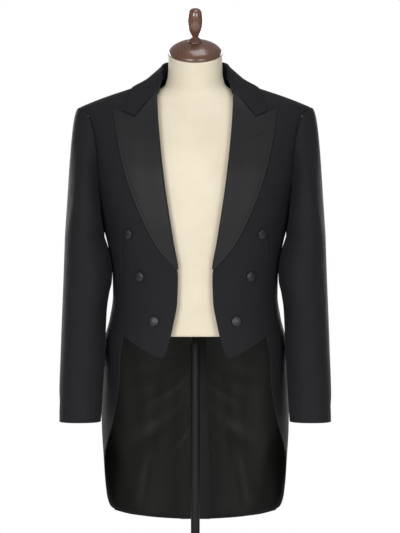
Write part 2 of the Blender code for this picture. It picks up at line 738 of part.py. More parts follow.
def sleeve_rows(first_turn, last_turn, columns):
    levels = [0.0, 0.09, 0.21, 0.38, 0.65, 1.0, 1.12, 1.25, 1.38, 1.52, 1.66, 1.82, 2.0]
    rows = []
    for down in levels:
        row = []
        for s in fractions(columns):
            turn = mix(first_turn, last_turn, s)
            low, high = max(down - 0.01, 0.0), min(down + 0.01, 2.0)
            along = sleeve_point(turn + 1.0, down) - sleeve_point(turn - 1.0, down)
            downward = sleeve_point(turn, high) - sleeve_point(turn, low)
            row.append((sleeve_point(turn, down), along.cross(downward).normalized()))
        rows.append(row)
    return rows


def make_sleeves():
    half_gap = math.degrees(SEAM_GAP / 2 / SLEEVE_SEAM_RADIUS)
    hind = HIND_SLEEVE_SEAM - 360.0
    for side_name, side in (("left", 1), ("right", -1)):
        top = sleeve_rows(hind + half_gap, FRONT_SLEEVE_SEAM - half_gap, 13)
        under = sleeve_rows(FRONT_SLEEVE_SEAM + half_gap, HIND_SLEEVE_SEAM - half_gap, 8)
        cloth_wall(f"sleeve_top_{side_name}", top, CLOTH, "wool", side)
        cloth_wall(f"sleeve_under_{side_name}", under, CLOTH, "wool", side)


# ------------------------------------------------------------------------------------------- dress form and stand


def make_form_torso():
    segments = 28
    points, rings = [], []
    for row in FORM:
        ring = []
        for k in range(segments):
            angle = 360.0 * k / segments
            x, y = section_point(row.half_width, row.front, row.back, row.squareness, angle)
            rise = y * math.tan(math.radians(row.lean))
            points.append((x, row.centre_y + y, HEM_ABOVE_FLOOR + row.height + rise))
            ring.append(len(points) - 1)
        rings.append(ring)
    faces = [list(reversed(rings[0])), list(rings[-1])]
    for low, high in zip(rings, rings[1:]):
        for k in range(segments):
            m = (k + 1) % segments
            faces.append([low[k], low[m], high[m], high[k]])
    add_mesh("form_torso", points, faces, "jersey", 60.0)


def make_neck_cap():
    top = FORM[-1]
    place = Matrix.Translation((0.0, top.centre_y, HEM_ABOVE_FLOOR + top.height + 0.0004))
    place = place @ Matrix.Rotation(math.radians(NECK_LEAN), 4, "X")
    cap = [(0.0, 0.0), (0.0525, 0.0), (0.0535, 0.0025), (0.0520, 0.0070), (0.0455, 0.0135), (0.0350, 0.0195)]
    cap += [(0.0220, 0.0240), (0.0, 0.0262)]
    turned("form_cap", cap, 32, place, "walnut", 60.0)
    finial = [(0.0, 0.0265), (0.0140, 0.0265), (0.0126, 0.0285), (0.0090, 0.0320), (0.0066, 0.0350)]
    finial += [(0.0064, 0.0370), (0.0098, 0.0440), (0.0135, 0.0530), (0.0156, 0.0640), (0.0156, 0.0740)]
    finial += [(0.0136, 0.0850), (0.0090, 0.0930), (0.0, 0.0960)]
    turned("form_finial", finial, 20, place, "walnut", 60.0)


def make_stand():
    level = Matrix.Identity(4)
    plate = [(0.0, 0.0), (BASE_RADIUS - 0.003, 0.0), (BASE_RADIUS, 0.003), (BASE_RADIUS, BASE_THICKNESS - 0.004)]
    plate += [(BASE_RADIUS - 0.006, BASE_THICKNESS), (0.0, BASE_THICKNESS)]
    turned("stand_base", plate, 48, level, "black_metal")
    foot = BASE_THICKNESS + HARD_GAP
    rim = foot + SOCKET_HEIGHT
    socket = [(0.0, foot), (0.030, foot), (0.030, foot + 0.004), (0.016, foot + 0.012), (0.014, rim), (0.0, rim)]
    turned("stand_socket", socket, 24, level, "black_metal")
    low = rim + HARD_GAP
    high = HEM_ABOVE_FLOOR + FORM_HEM_HEIGHT - HARD_GAP
    pole = [(0.0, low), (POLE_RADIUS, low), (POLE_RADIUS, high), (0.0, high)]
    turned("stand_pole", pole, 20, level, "black_metal")


def main():
    clear_scene()
    make_foreparts()
    make_sidebodies()
    make_backs()
    make_tails()
    make_linings()
    make_lapels()
    make_collar()
    make_breast_welt()
    make_buttons()
    make_sleeves()
    make_form_torso()
    make_neck_cap()
    make_stand()


main()
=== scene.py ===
"""Looks of the white tie tailcoat on its dress form: fine cloth shells, stitching, buttons, form and stand."""

import math

import bpy
import numpy as np
from mathutils import Matrix, Vector


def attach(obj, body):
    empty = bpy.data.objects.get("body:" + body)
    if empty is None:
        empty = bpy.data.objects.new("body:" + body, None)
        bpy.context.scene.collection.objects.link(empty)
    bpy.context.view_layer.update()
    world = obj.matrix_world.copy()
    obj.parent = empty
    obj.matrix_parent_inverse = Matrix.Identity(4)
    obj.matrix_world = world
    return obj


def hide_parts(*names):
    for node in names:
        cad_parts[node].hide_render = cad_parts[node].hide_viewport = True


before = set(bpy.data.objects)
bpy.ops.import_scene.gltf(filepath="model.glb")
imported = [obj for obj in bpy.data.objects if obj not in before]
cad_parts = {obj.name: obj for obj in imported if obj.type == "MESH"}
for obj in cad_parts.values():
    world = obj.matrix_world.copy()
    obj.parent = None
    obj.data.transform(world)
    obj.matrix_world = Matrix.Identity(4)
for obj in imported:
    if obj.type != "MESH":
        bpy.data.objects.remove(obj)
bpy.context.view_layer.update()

# ---------------------------------------- sizes shared with the frame

HEM_ABOVE_FLOOR = 0.24
SQUARENESS = 2.35
SHOULDER_EASE = (-0.030, -0.015, 0.0, 0.015, 0.030)
SHOULDER_EASE_POWER = 6
ROUND_ROWS_SHARE = 0.75       # how far the armhole's rows crowd towards its two ends
NECK_SEAM_HEIGHT = 0.8985
SHOULDER_TIP_HEIGHT = 0.8445
ARMPIT_HEIGHT = 0.612
ARMHOLE_MIDDLE = (SHOULDER_TIP_HEIGHT + ARMPIT_HEIGHT) / 2
ARMHOLE_HALF = (SHOULDER_TIP_HEIGHT - ARMPIT_HEIGHT) / 2
ARMHOLE_FRONT_REACH = 16.5
ARMHOLE_BACK_REACH = 19.0
ARMHOLE_ROUNDNESS = 0.6
CUFF_HEIGHT = 0.217
SLEEVE_RING_HEIGHT = 0.585
SLEEVE_SQUARENESS = 2.2
FRONT_SLEEVE_SEAM = 118.0
HIND_SLEEVE_SEAM = 260.0
WAIST_HEIGHT = 0.418
LAPEL_FOOT_HEIGHT = 0.520
LINING_TOP = 0.398
VENT_STRIP_TOP_WIDTH = 0.020
VENT_STRIP_HEM_WIDTH = 0.036
NECK_LEAN = 25.0
POLE_RADIUS = 0.009
BASE_RADIUS = 0.17
BASE_THICKNESS = 0.012

# ---------------------------------------- looks' own sizes

WOOL_THICKNESS = 0.0020
LAPEL_THICKNESS = 0.0022
COLLAR_THICKNESS = 0.0022
LINING_THICKNESS = 0.0008
LAPEL_LIFT = 0.0029
COLLAR_LIFT = 0.0031
ROLL_RADIUS = 0.0036
ROLL_SET_BACK = 0.0030
FACING_DEPTH = 0.016
LINING_LIFT = -0.0030
ARMHOLE_GAP = 0.0014
SEAM_DIP = 0.0007
SEAM_DIP_WIDTH = 0.0014
PICK_STITCH_INSET = 0.0034
PICK_STITCH_PITCH = 0.0065
PICK_STITCH_LENGTH = 0.0032
PICK_STITCH_RADIUS = 0.00050
BUTTONHOLE_PITCH = 0.00062            # between neighbouring stitches of the worked buttonhole
BUTTONHOLE_HALF_WIDTH = 0.0014
BUTTONHOLE_STITCH_LENGTH = 0.0022
BUTTONHOLE_STITCH_RADIUS = 0.00036
ROLL_RADIUS_AT_FOOT = 0.0018
ROLL_CLEARANCE = 0.0004               # between the roll and the front edge that it turns round
ROLL_FADE = 0.016                     # distance from the roll over which the lapel settles down
FOREPART_SHORT_OF_ROLL = 0.0022
COLLAR_FOOT_REACH = 0.0005            # from the fold line out to the stand's foot
COLLAR_STAND_SHORT = 0.0022           # the stand stops this far under the fold line
COLLAR_CREST_RISE = 0.0012
COLLAR_CREST_REACH = 0.0022
COLLAR_TURN_DROP = 0.0022             # where the fold ends and the fall begins
COLLAR_TURN_REACH = 0.0052
COLLAR_FALL_BULGE = 0.0030
LINING_ABOVE_HEM = 0.006
LINING_BEHIND_EDGE = 4.0              # degrees
STRIP_THICKNESS = 0.0014              # vent strip and breast welt
STRIP_SET_IN = 0.0008
PUCKER_PITCH = 0.0085                 # along the vent strip's sewn edge
PUCKER_DEPTH = 0.0005
BODY_MEAN_RADIUS = 0.175              # turns an angle round the body into a rough distance
SLEEVE_MEAN_RADIUS = 0.062
HEAD_REACH_UNDER = 0.004              # how far the sleeve's head leaves the armhole before it turns down
HEAD_REACH_MORE_ON_TOP = 0.010
HEAD_DRAWN_IN = 0.010
HEAD_CURVE_SHARE = 0.62               # share of the head's drop given to its lower curve
SOCKET_HEIGHT = 0.045
HARD_GAP = 0.0003                     # between the stand's pieces
SMALLEST_AREA_SHARE = 0.31            # least share of its rectangle that a sheet's area is stated as
SURROUND_LIGHT = 0.34                 # strength with which the white surround lights the coat
WELT_OUTER_X = 0.180
WELT_BOTTOM = 0.656
WELT_HEIGHT = 0.026
RIM_TURNS = (45.0, 90.0, 135.0)       # places round a cloth's rounded edge, in degrees


class Table:
    """Short table with named columns, read along its first column on a smooth curve through the rows."""

    def __init__(self, columns, *rows):
        self.names = columns.split()
        self.rows = np.array(rows, float)

    def read(self, at, column):
        keys, values = self.rows[:, 0], self.rows[:, self.names.index(column)]
        at = np.clip(at, keys[0], keys[-1])
        step = np.diff(keys)
        rise = np.diff(values) / step
        product = rise[:-1] * rise[1:]
        slope = np.zeros_like(values)
        slope[0], slope[-1] = rise[0], rise[-1]
        same_way = product > 0
        slope[1:-1][same_way] = 2 * product[same_way] / (rise[:-1] + rise[1:])[same_way]
        i = np.clip(np.searchsorted(keys, at, side="right") - 1, 0, len(step) - 1)
        t = (at - keys[i]) / step[i]
        return (
            (2 * t**3 - 3 * t**2 + 1) * values[i]
            + (t**3 - 2 * t**2 + t) * step[i] * slope[i]
            + (3 * t**2 - 2 * t**3) * values[i + 1]
            + (t**3 - t**2) * step[i] * slope[i + 1]
        )


BODY = Table(
    "height half_width front back centre_y",
    (0.000, 0.1765, 0.160, 0.097, 0.040),
    (0.060, 0.1815, 0.160, 0.096, 0.040),
    (0.126, 0.1847, 0.160, 0.094, 0.040),
    (0.199, 0.1890, 0.159, 0.090, 0.040),
    (0.270, 0.1897, 0.157, 0.085, 0.039),
    (0.344, 0.1880, 0.149, 0.083, 0.030),
    (0.380, 0.1825, 0.134, 0.088, 0.017),
    (0.420, 0.1720, 0.120, 0.091, 0.005),
    (0.467, 0.1652, 0.115, 0.090, 0.000),
    (0.510, 0.1662, 0.118, 0.095, 0.000),
    (0.560, 0.1737, 0.124, 0.106, 0.000),
    (0.627, 0.1902, 0.130, 0.118, 0.000),
    (0.700, 0.2050, 0.128, 0.125, 0.000),
    (0.760, 0.2150, 0.115, 0.122, 0.000),
    (0.810, 0.2270, 0.097, 0.111, 0.000),
    (0.830, 0.2335, 0.0880, 0.1033, 0.000),
    (0.840, 0.2352, 0.0832, 0.0990, 0.000),
    (0.8445, 0.2330, 0.0808, 0.0969, 0.000),
    (0.850, 0.2215, 0.0773, 0.0937, 0.000),
    (0.8654, 0.1825, 0.0672, 0.0840, 0.000),
    (0.8896, 0.1096, 0.056, 0.067, 0.000),
    (0.9000, 0.0790, 0.052, 0.061, 0.000),
)
SIDE_SEAM = Table("height angle", (0.38, 87.0), (0.50, 88.0), (ARMPIT_HEIGHT, 90.0))
BACK_SEAM = Table(
    "height angle",
    (0.000, 162.5),
    (0.300, 160.0),
    (0.410, 156.0),
    (0.450, 153.0),
    (0.500, 147.0),
    (0.550, 139.0),
    (0.600, 130.0),
    (0.660, 117.0),
    (0.700, 109.0),
)
BACK_SEAM_TOP = 0.700
TAIL_FRONT_EDGE = Table(
    "height angle",
    (0.0000, 107.0),
    (0.0246, 105.5),
    (0.0330, 101.0),
    (0.0550, 96.0),
    (0.0797, 93.0),
    (0.1260, 84.0),
    (0.1680, 70.0),
    (0.2260, 59.5),
    (0.3000, 55.0),
    (0.3900, 57.0),
)
WAIST_LINE = Table(
    "angle height",
    (27.0, 0.345),
    (43.0, 0.366),
    (57.0, 0.386),
    (80.0, 0.404),
    (120.0, 0.413),
    (156.0, 0.418),
    (180.0, 0.418),
)
TAIL_HEM = Table(
    "angle height",
    (95.0, 0.032),
    (105.0, 0.0246),
    (120.0, 0.012),
    (140.0, 0.004),
    (160.0, 0.001),
    (180.0, 0.000),
)
FRONT_EDGE = Table(
    "height from_centre",
    (0.345, 0.0612),
    (0.377, 0.0512),
    (0.408, 0.0442),
    (0.455, 0.0360),
    (0.502, 0.0345),
    (0.565, 0.0422),
    (0.628, 0.0520),
    (0.691, 0.0610),
    (0.754, 0.0680),
    (0.819, 0.0733),
    (0.870, 0.0755),
)
FOREPART_NECK_START = 0.846
FOREPART_NECK = Table(
    "height from_centre",
    (0.846, 0.0748),
    (0.860, 0.0812),
    (0.872, 0.0915),
    (0.885, 0.0930),
    (0.8985, 0.0822),
)
LAPEL_EDGE = Table(
    "height from_centre",
    (0.520, 0.0368),
    (0.540, 0.0550),
    (0.563, 0.0735),
    (0.616, 0.1020),
    (0.675, 0.1257),
    (0.727, 0.1416),
    (0.775, 0.1520),
    (0.837, 0.1625),
)
GORGE = ((0.0755, 0.870), (0.0975, 0.8450), (0.1180, 0.8195))
PEAK_TIP = (0.1625, 0.8370)
COLLAR = Table(
    "along fold_x fold_y fold_height stand edge_angle edge_height",
    (0.00, 0.0000, 0.0640, 0.9430, 0.040, 180.0, 0.8840),
    (0.15, 0.0285, 0.0590, 0.9420, 0.040, 158.0, 0.8850),
    (0.30, 0.0500, 0.0440, 0.9400, 0.037, 136.0, 0.8880),
    (0.45, 0.0625, 0.0190, 0.9340, 0.030, 112.0, 0.8900),
    (0.60, 0.0670, -0.0080, 0.9210, 0.020, 88.0, 0.8905),
    (0.80, 0.0718, -0.0375, 0.8970, 0.012, 68.7, 0.8660),
    (0.90, 0.0742, -0.0525, 0.8805, 0.008, 63.5, 0.8405),
    (0.92, 0.0748, -0.0555, 0.8775, 0.007, 63.2, 0.8350),
    (0.94, 0.0753, -0.0575, 0.8760, 0.006, 61.5, 0.8318),
    (1.00, 0.0765, -0.0620, 0.8725, 0.004, 55.4, 0.8225),
)
# The two rows nearest the armpit stand a little nearer the body than the frame's sleeve does.
SLEEVE = Table(
    "height outer_x inner_x centre_y half_depth",
    (0.2170, 0.2695, 0.1890, -0.062, 0.052),
    (0.2594, 0.2697, 0.1863, -0.057, 0.055),
    (0.3560, 0.2668, 0.1812, -0.046, 0.061),
    (0.4370, 0.2645, 0.1782, -0.037, 0.066),
    (0.4715, 0.2634, 0.1735, -0.034, 0.069),
    (0.4960, 0.2627, 0.1682, -0.033, 0.071),
    (0.5150, 0.2622, 0.1675, -0.032, 0.073),
    (0.5500, 0.2614, 0.1722, -0.030, 0.076),
    (0.5850, 0.2605, 0.1832, -0.028, 0.079),
)
FORM = Table(
    "height half_width front back centre_y lean squareness",
    (0.386, 0.156, 0.094, 0.084, 0.000, 0.0, 2.3),
    (0.392, 0.159, 0.097, 0.087, 0.000, 0.0, 2.3),
    (0.420, 0.154, 0.097, 0.081, 0.000, 0.0, 2.3),
    (0.467, 0.150, 0.099, 0.076, 0.000, 0.0, 2.3),
    (0.560, 0.160, 0.109, 0.091, 0.000, 0.0, 2.3),
    (0.627, 0.172, 0.115, 0.102, 0.000, 0.0, 2.3),
    (0.700, 0.183, 0.113, 0.109, 0.000, 0.0, 2.3),
    (0.760, 0.189, 0.100, 0.106, 0.000, 0.0, 2.3),
    (0.805, 0.187, 0.084, 0.095, 0.000, 0.0, 2.3),
    (0.835, 0.175, 0.069, 0.081, 0.000, 0.0, 2.3),
    (0.858, 0.135, 0.057, 0.068, 0.000, 0.0, 2.3),
    (0.876, 0.088, 0.052, 0.055, -0.001, 5.0, 2.1),
    (0.892, 0.0605, 0.0510, 0.0500, -0.004, 11.0, 2.0),
    (0.915, 0.0548, 0.0500, 0.0490, -0.008, 18.0, 2.0),
    (0.953, 0.0540, 0.0504, 0.0504, -0.014, NECK_LEAN, 2.0),
)
BUTTON_PLACES = ((0.0806, 0.4164), (0.1090, 0.5050), (0.1315, 0.5890))
BACK_BUTTON_PLACE = (0.036, 0.428)
# from the centre, lowest and highest point
DARTS = {"left": (0.1495, 0.443, 0.597), "right": (0.1450, 0.480, 0.590)}

# Soft troughs (negative) and ridges pressed into the cloth, each from place 1 to place 2, in metres.
FOREPART_CREASES = (
    # across_1, up_1, across_2, up_2, width, depth
    (0.215, 0.640, 0.190, 0.560, 0.013, -0.0012),
    (0.240, 0.600, 0.205, 0.520, 0.016, 0.0011),
    (0.120, 0.430, 0.250, 0.470, 0.016, -0.0010),
    (0.150, 0.465, 0.262, 0.500, 0.014, 0.0008),
    (0.205, 0.800, 0.190, 0.700, 0.014, -0.0010),
)
BACK_CREASES = (
    (0.44, 0.640, 0.52, 0.480, 0.020, -0.0013),
    (0.36, 0.600, 0.47, 0.500, 0.016, 0.0012),
    (0.38, 0.790, 0.36, 0.660, 0.018, -0.0014),
    (0.30, 0.440, 0.50, 0.468, 0.013, 0.0011),
    (0.30, 0.470, 0.49, 0.492, 0.011, -0.0010),
)
TAIL_CREASES = (
    (0.28, 0.380, 0.33, 0.120, 0.022, 0.0022),
    (0.36, 0.400, 0.38, 0.060, 0.026, -0.0026),
    (0.44, 0.390, 0.45, 0.020, 0.020, 0.0018),
    (0.22, 0.360, 0.26, 0.220, 0.018, -0.0014),
)
SLEEVE_CREASES = (
    # across is measured round the sleeve from its outer line towards the front
    (0.030, 0.545, 0.085, 0.500, 0.012, -0.0012),
    (0.045, 0.470, 0.125, 0.436, 0.010, -0.0016),
    (0.040, 0.446, 0.120, 0.404, 0.010, 0.0013),
    (0.060, 0.420, 0.125, 0.384, 0.009, -0.0012),
    (-0.040, 0.430, -0.090, 0.458, 0.012, -0.0014),
    (-0.020, 0.270, 0.030, 0.246, 0.012, -0.0010),
    (0.000, 0.560, 0.006, 0.240, 0.020, 0.0012),
    (-0.070, 0.660, -0.050, 0.560, 0.016, -0.0012),
    (0.060, 0.690, 0.055, 0.590, 0.014, -0.0010),
)
LAPEL_CREASES = (
    # across is measured from the roll line
    (0.02, 0.60, 0.05, 0.80, 0.020, -0.0008),
    (0.05, 0.70, 0.06, 0.80, 0.012, 0.0006),
)
LINING_CREASES = (
    # across_1, up_1, across_2, up_2, width, depth
    (0.548, 0.352, 0.318, 0.283, 0.016, -0.0016),
    (0.548, 0.318, 0.390, 0.236, 0.011, 0.0013),
    (0.548, 0.262, 0.356, 0.142, 0.017, -0.0015),
    (0.548, 0.205, 0.452, 0.128, 0.009, 0.0010),
    (0.296, 0.322, 0.291, 0.048, 0.012, -0.0019),
    (0.336, 0.214, 0.352, 0.060, 0.014, 0.0011),
    (0.405, 0.128, 0.398, 0.018, 0.010, -0.0010),
    (0.462, 0.338, 0.428, 0.276, 0.013, -0.0008),
    (0.252, 0.286, 0.268, 0.196, 0.009, 0.0012),
)

# ---------------------------------------- the body surface


def section_point(half_width, front, back, squareness, angle):
    s, c = np.sin(np.radians(angle)), np.cos(np.radians(angle))
    depth = np.where(c > 0.0, front, back)
    radius = (np.abs(s / half_width) ** squareness + np.abs(c / depth) ** squareness) ** (-1.0 / squareness)
    return radius * s, -radius * c


def half_width(angle, height):
    """The shoulder line's half-width at the sides, eased over some height away from them."""
    sharp = BODY.read(height, "half_width")
    eased = sum(BODY.read(height + step, "half_width") for step in SHOULDER_EASE) / len(SHOULDER_EASE)
    return eased + (sharp - eased) * np.abs(np.sin(np.radians(angle))) ** SHOULDER_EASE_POWER


def body_middle(angle, height):
    angle, height = np.broadcast_arrays(np.asarray(angle, float), np.asarray(height, float))
    x, y = section_point(
        half_width(angle, height), BODY.read(height, "front"), BODY.read(height, "back"), SQUARENESS, angle
    )
    return np.stack([x, y + BODY.read(height, "centre_y"), HEM_ABOVE_FLOOR + height], -1)


def unit(vectors):
    return vectors / np.maximum(np.linalg.norm(vectors, axis=-1, keepdims=True), 1e-12)


def body_normal(angle, height):
    along = body_middle(angle + 0.6, height) - body_middle(angle - 0.6, height)
    up = body_middle(angle, height + 0.0015) - body_middle(angle, height - 0.0015)
    return unit(np.cross(along, up))


def body_point(angle, height, lift=0.0):
    lift = np.asarray(lift, float)[..., None] if np.ndim(lift) else lift
    return body_middle(angle, height) + body_normal(angle, height) * lift


def angle_at(from_centre, height, low, high):
    """Angle between low and high whose body point is this far from the centre plane, by halving."""
    from_centre, height = np.broadcast_arrays(np.asarray(from_centre, float), np.asarray(height, float))
    near, far = np.full(from_centre.shape, float(low)), np.full(from_centre.shape, float(high))
    for _ in range(26):
        middle = (near + far) / 2
        short = body_middle(middle, height)[..., 0] < from_centre
        near, far = np.where(short, middle, near), np.where(short, far, middle)
    return (near + far) / 2


def front_angle(from_centre, height):
    return angle_at(from_centre, height, 0.0, 90.0)


def back_angle(from_centre, height):
    return angle_at(from_centre, height, 180.0, 90.0)


def armhole_angle(height, reach):
    share = np.clip(1.0 - ((height - ARMHOLE_MIDDLE) / ARMHOLE_HALF) ** 2, 0.0, 1.0)
    return 90.0 + reach * np.sqrt(share) ** ARMHOLE_ROUNDNESS


def smooth(edge_low, edge_high, value):
    t = np.clip((value - edge_low) / (edge_high - edge_low), 0.0, 1.0)
    return t * t * (3.0 - 2.0 * t)


def forepart_inner(height):
    below, above = FRONT_EDGE.read(height, "from_centre"), FOREPART_NECK.read(height, "from_centre")
    edge = np.where(height < FOREPART_NECK_START, below, above)
    rolled = smooth(LAPEL_FOOT_HEIGHT - 0.012, LAPEL_FOOT_HEIGHT + 0.030, height)
    set_back = (ROLL_SET_BACK + FOREPART_SHORT_OF_ROLL) * rolled
    return front_angle(edge + set_back * (height < FOREPART_NECK_START), height)


def forepart_outer(height):
    below = SIDE_SEAM.read(height, "angle")
    beside = armhole_angle(height, -ARMHOLE_FRONT_REACH)
    return np.where(height < ARMPIT_HEIGHT, below, np.where(height < SHOULDER_TIP_HEIGHT, beside, 90.0))


def sidebody_front(height):
    below = SIDE_SEAM.read(height, "angle")
    return np.where(height < ARMPIT_HEIGHT, below, armhole_angle(height, ARMHOLE_BACK_REACH))


def back_seam(height):
    return BACK_SEAM.read(height, "angle")


def back_outer(height):
    beside = armhole_angle(height, ARMHOLE_BACK_REACH)
    upper = np.where(height < SHOULDER_TIP_HEIGHT, beside, 90.0)
    return np.where(height < BACK_SEAM_TOP, back_seam(height), upper)


def back_centre(height):
    return np.full(np.shape(height), 179.95)


# ---------------------------------------- grids of cloth


def spaced(count, length, crowd_start=True, crowd_end=True):
    """Fractions along a piece: even ones, with a few more close to its sewn or stitched edges."""
    close = np.array([0.0006, 0.0013, 0.0021, 0.0030, 0.0042]) / length
    parts = [np.linspace(0.0, 1.0, count)]
    if crowd_start:
        parts.append(close)
    if crowd_end:
        parts.append(1.0 - close)
    return np.unique(np.round(np.concatenate(parts), 6))


def armhole_levels(count):
    share = np.linspace(0.0, 1.0, count)
    even, crowded = 2 * share - 1, -np.cos(math.pi * share)
    return ARMHOLE_MIDDLE + ARMHOLE_HALF * ((1 - ROUND_ROWS_SHARE) * even + ROUND_ROWS_SHARE * crowded)


def panel_grid(levels, shares, left, right, floor_line=None, fade_to=0.60):
    """Angles and heights of a panel's points between two seams, its lowest rows following a sloping edge."""
    levels = levels[:, None]
    lowest = levels[0, 0]

    def settle(angle):
        if floor_line is None:
            return levels
        fade = np.clip((fade_to - levels) / (fade_to - lowest), 0.0, 1.0)
        return levels + (floor_line.read(angle, "height") - lowest) * fade

    left_angle, right_angle = left(levels), right(levels)
    for _ in range(4):
        left_angle, right_angle = left(settle(left_angle)), right(settle(right_angle))
    angles = left_angle + (right_angle - left_angle) * shares[None, :]
    heights = np.broadcast_to(settle(angles), angles.shape)
    return angles, heights


def skirt_grid(rows, shares, left, right, bottom, top):
    t, s = rows[:, None], shares[None, :]
    angle = np.full((len(rows), len(shares)), 120.0)
    for _ in range(8):
        height = bottom(angle) * (1 - t) + top(angle) * t
        angle = left(height) * (1 - s) + right(height) * s
    return angle, bottom(angle) * (1 - t) + top(angle) * t


def grid_normals(points):
    return unit(np.cross(np.gradient(points, axis=1), np.gradient(points, axis=0)))


def lengths_along(points, axis):
    steps = np.linalg.norm(np.diff(points, axis=axis), axis=-1)
    start = np.zeros_like(np.take(steps, [0], axis=axis))
    return np.concatenate([start, np.cumsum(steps, axis=axis)], axis=axis)


def creased(across, up, creases):
    """Height of the soft troughs and ridges at each place."""
    relief = np.zeros(np.broadcast(across, up).shape)
    for x1, y1, x2, y2, width, depth in creases:
        dx, dy = x2 - x1, y2 - y1
        run = math.hypot(dx, dy)
        along = ((across - x1) * dx + (up - y1) * dy) / run
        off = ((across - x1) * dy - (up - y1) * dx) / run
        bend = 0.18 * width * np.sin(along / run * 5.0 + x1 * 40.0)
        taper = np.sin(np.pi * np.clip(along / run, 0.0, 1.0)) ** 0.8
        spread = width * (0.7 + 0.5 * np.clip(along / run, 0.0, 1.0))
        relief += depth * taper * np.exp(-(((off - bend) / spread) ** 2))
    return relief


def dipped(points, left=False, right=False, bottom=False, top=False, dip=SEAM_DIP):
    """Presses the named edges of a grid in, as a sewn seam does."""
    across, up = lengths_along(points, 1), lengths_along(points, 0)
    depth = np.zeros(points.shape[:2])
    for wanted, distance in (
        (left, across),
        (right, across[:, -1:] - across),
        (bottom, up),
        (top, up[-1:] - up),
    ):
        if wanted:
            depth = np.maximum(depth, dip * np.exp(-((distance / SEAM_DIP_WIDTH) ** 2)))
    return points - grid_normals(points) * depth[..., None]


def rim_loop(rows, columns):
    """Row and column of each boundary point of a grid, once round."""
    loop = [(0, j) for j in range(columns)] + [(i, columns - 1) for i in range(1, rows)]
    loop += [(rows - 1, j) for j in range(columns - 2, -1, -1)] + [(i, 0) for i in range(rows - 2, 0, -1)]
    return np.array(loop)


def shell_mesh(name, points, thickness, side):
    """Thin closed shell with rounded edges round a grid of middle points, with a UV map in metres of cloth."""
    rows, columns = points.shape[:2]
    normals = grid_normals(points)
    thickness = np.broadcast_to(thickness, (rows, columns))[..., None]
    outer, inner = points + normals * thickness / 2, points - normals * thickness / 2
    loop = rim_loop(rows, columns)
    i, j = loop[:, 0], loop[:, 1]
    inside_i, inside_j = np.clip(i, 1, rows - 2), np.clip(j, 1, columns - 2)
    out = points[i, j] - points[inside_i, inside_j]
    out = unit(out - normals[i, j] * (out * normals[i, j]).sum(-1, keepdims=True))
    rims = []
    for turn in RIM_TURNS:
        rims.append(
            points[i, j]
            + normals[i, j] * thickness[i, j] / 2 * math.cos(math.radians(turn))
            + out * thickness[i, j] / 2 * 0.7 * math.sin(math.radians(turn))
        )
    across, up = lengths_along(points, 1), lengths_along(points, 0)
    flat = np.stack([across - across[:, columns // 2][:, None], up - up[0][None, :]], -1)
    vertices = np.concatenate([outer.reshape(-1, 3), inner.reshape(-1, 3), *rims])
    flats = np.concatenate([flat.reshape(-1, 2), flat.reshape(-1, 2), *[flat[i, j]] * len(rims)])
    number = np.arange(rows * columns).reshape(rows, columns)
    a, b, c, d = number[:-1, :-1], number[:-1, 1:], number[1:, 1:], number[1:, :-1]
    front = np.stack([a, b, c, d], -1).reshape(-1, 4)
    back = np.stack([a, d, c, b], -1).reshape(-1, 4) + rows * columns
    bands = [number[i, j]]
    count = len(loop)
    bands += [2 * rows * columns + k * count + np.arange(count) for k in range(len(rims))]
    bands.append(number[i, j] + rows * columns)
    faces = [front, back]
    for high, low in zip(bands, bands[1:]):
        faces.append(np.stack([high, low, np.roll(low, -1), np.roll(high, -1)], -1))
    faces = np.concatenate(faces)
    if side < 0:
        vertices = vertices * (-1.0, 1.0, 1.0)
        faces = faces[:, ::-1]
    return mesh_object(name, vertices, faces, flats)


def mesh_object(name, vertices, faces, flats=None):
    mesh = bpy.data.meshes.new(name)
    sizes = np.full(len(faces), faces.shape[1], np.int32)
    mesh.vertices.add(len(vertices))
    mesh.vertices.foreach_set("co", np.asarray(vertices, np.float32).ravel())
    mesh.loops.add(faces.size)
    mesh.loops.foreach_set("vertex_index", np.asarray(faces, np.int32).ravel())
    mesh.polygons.add(len(faces))
    mesh.polygons.foreach_set("loop_start", np.concatenate([[0], np.cumsum(sizes)[:-1]]).astype(np.int32))
    if flats is not None:
        layer = mesh.uv_layers.new(name="cloth")
        layer.uv.foreach_set("vector", np.asarray(flats, np.float32)[faces.ravel()].ravel())
    mesh.update(calc_edges=True)
    mesh.validate()
    mesh.shade_smooth()
    item = bpy.data.objects.new(name, mesh)
    bpy.context.scene.collection.objects.link(item)
    return item


def flat_size(points):
    """Width, length and area of the cloth that a grid of middle points is cut from."""
    a, b, c, d = points[:-1, :-1], points[:-1, 1:], points[1:, 1:], points[1:, :-1]
    area = np.linalg.norm(np.cross(c - a, d - b), axis=-1).sum() / 2
    width = lengths_along(points, 1)[:, -1].max()
    length = lengths_along(points, 0)[-1].max()
    return round(float(width), 3), round(float(length), 3), float(area)


def finish_piece(item, material, nodes=()):
    item.data.materials.clear()
    item.data.materials.append(material)
    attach(item, "root")
    if nodes:
        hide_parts(*nodes)
    return item


def cloth_piece(name, nodes, material, points, thickness, side):
    item = shell_mesh(name, points, thickness, side)
    finish_piece(item, material, nodes)
    width, length, area = flat_size(points)
    area = min(max(area, SMALLEST_AREA_SHARE * width * length), width * length)


def wool_panel(kind, name, side, points):
    nodes = [f"{kind}_{name}"]
    cloth_piece(f"{kind}_{name}_cloth", nodes, WOOL, points, WOOL_THICKNESS, side)


# ---------------------------------------- materials


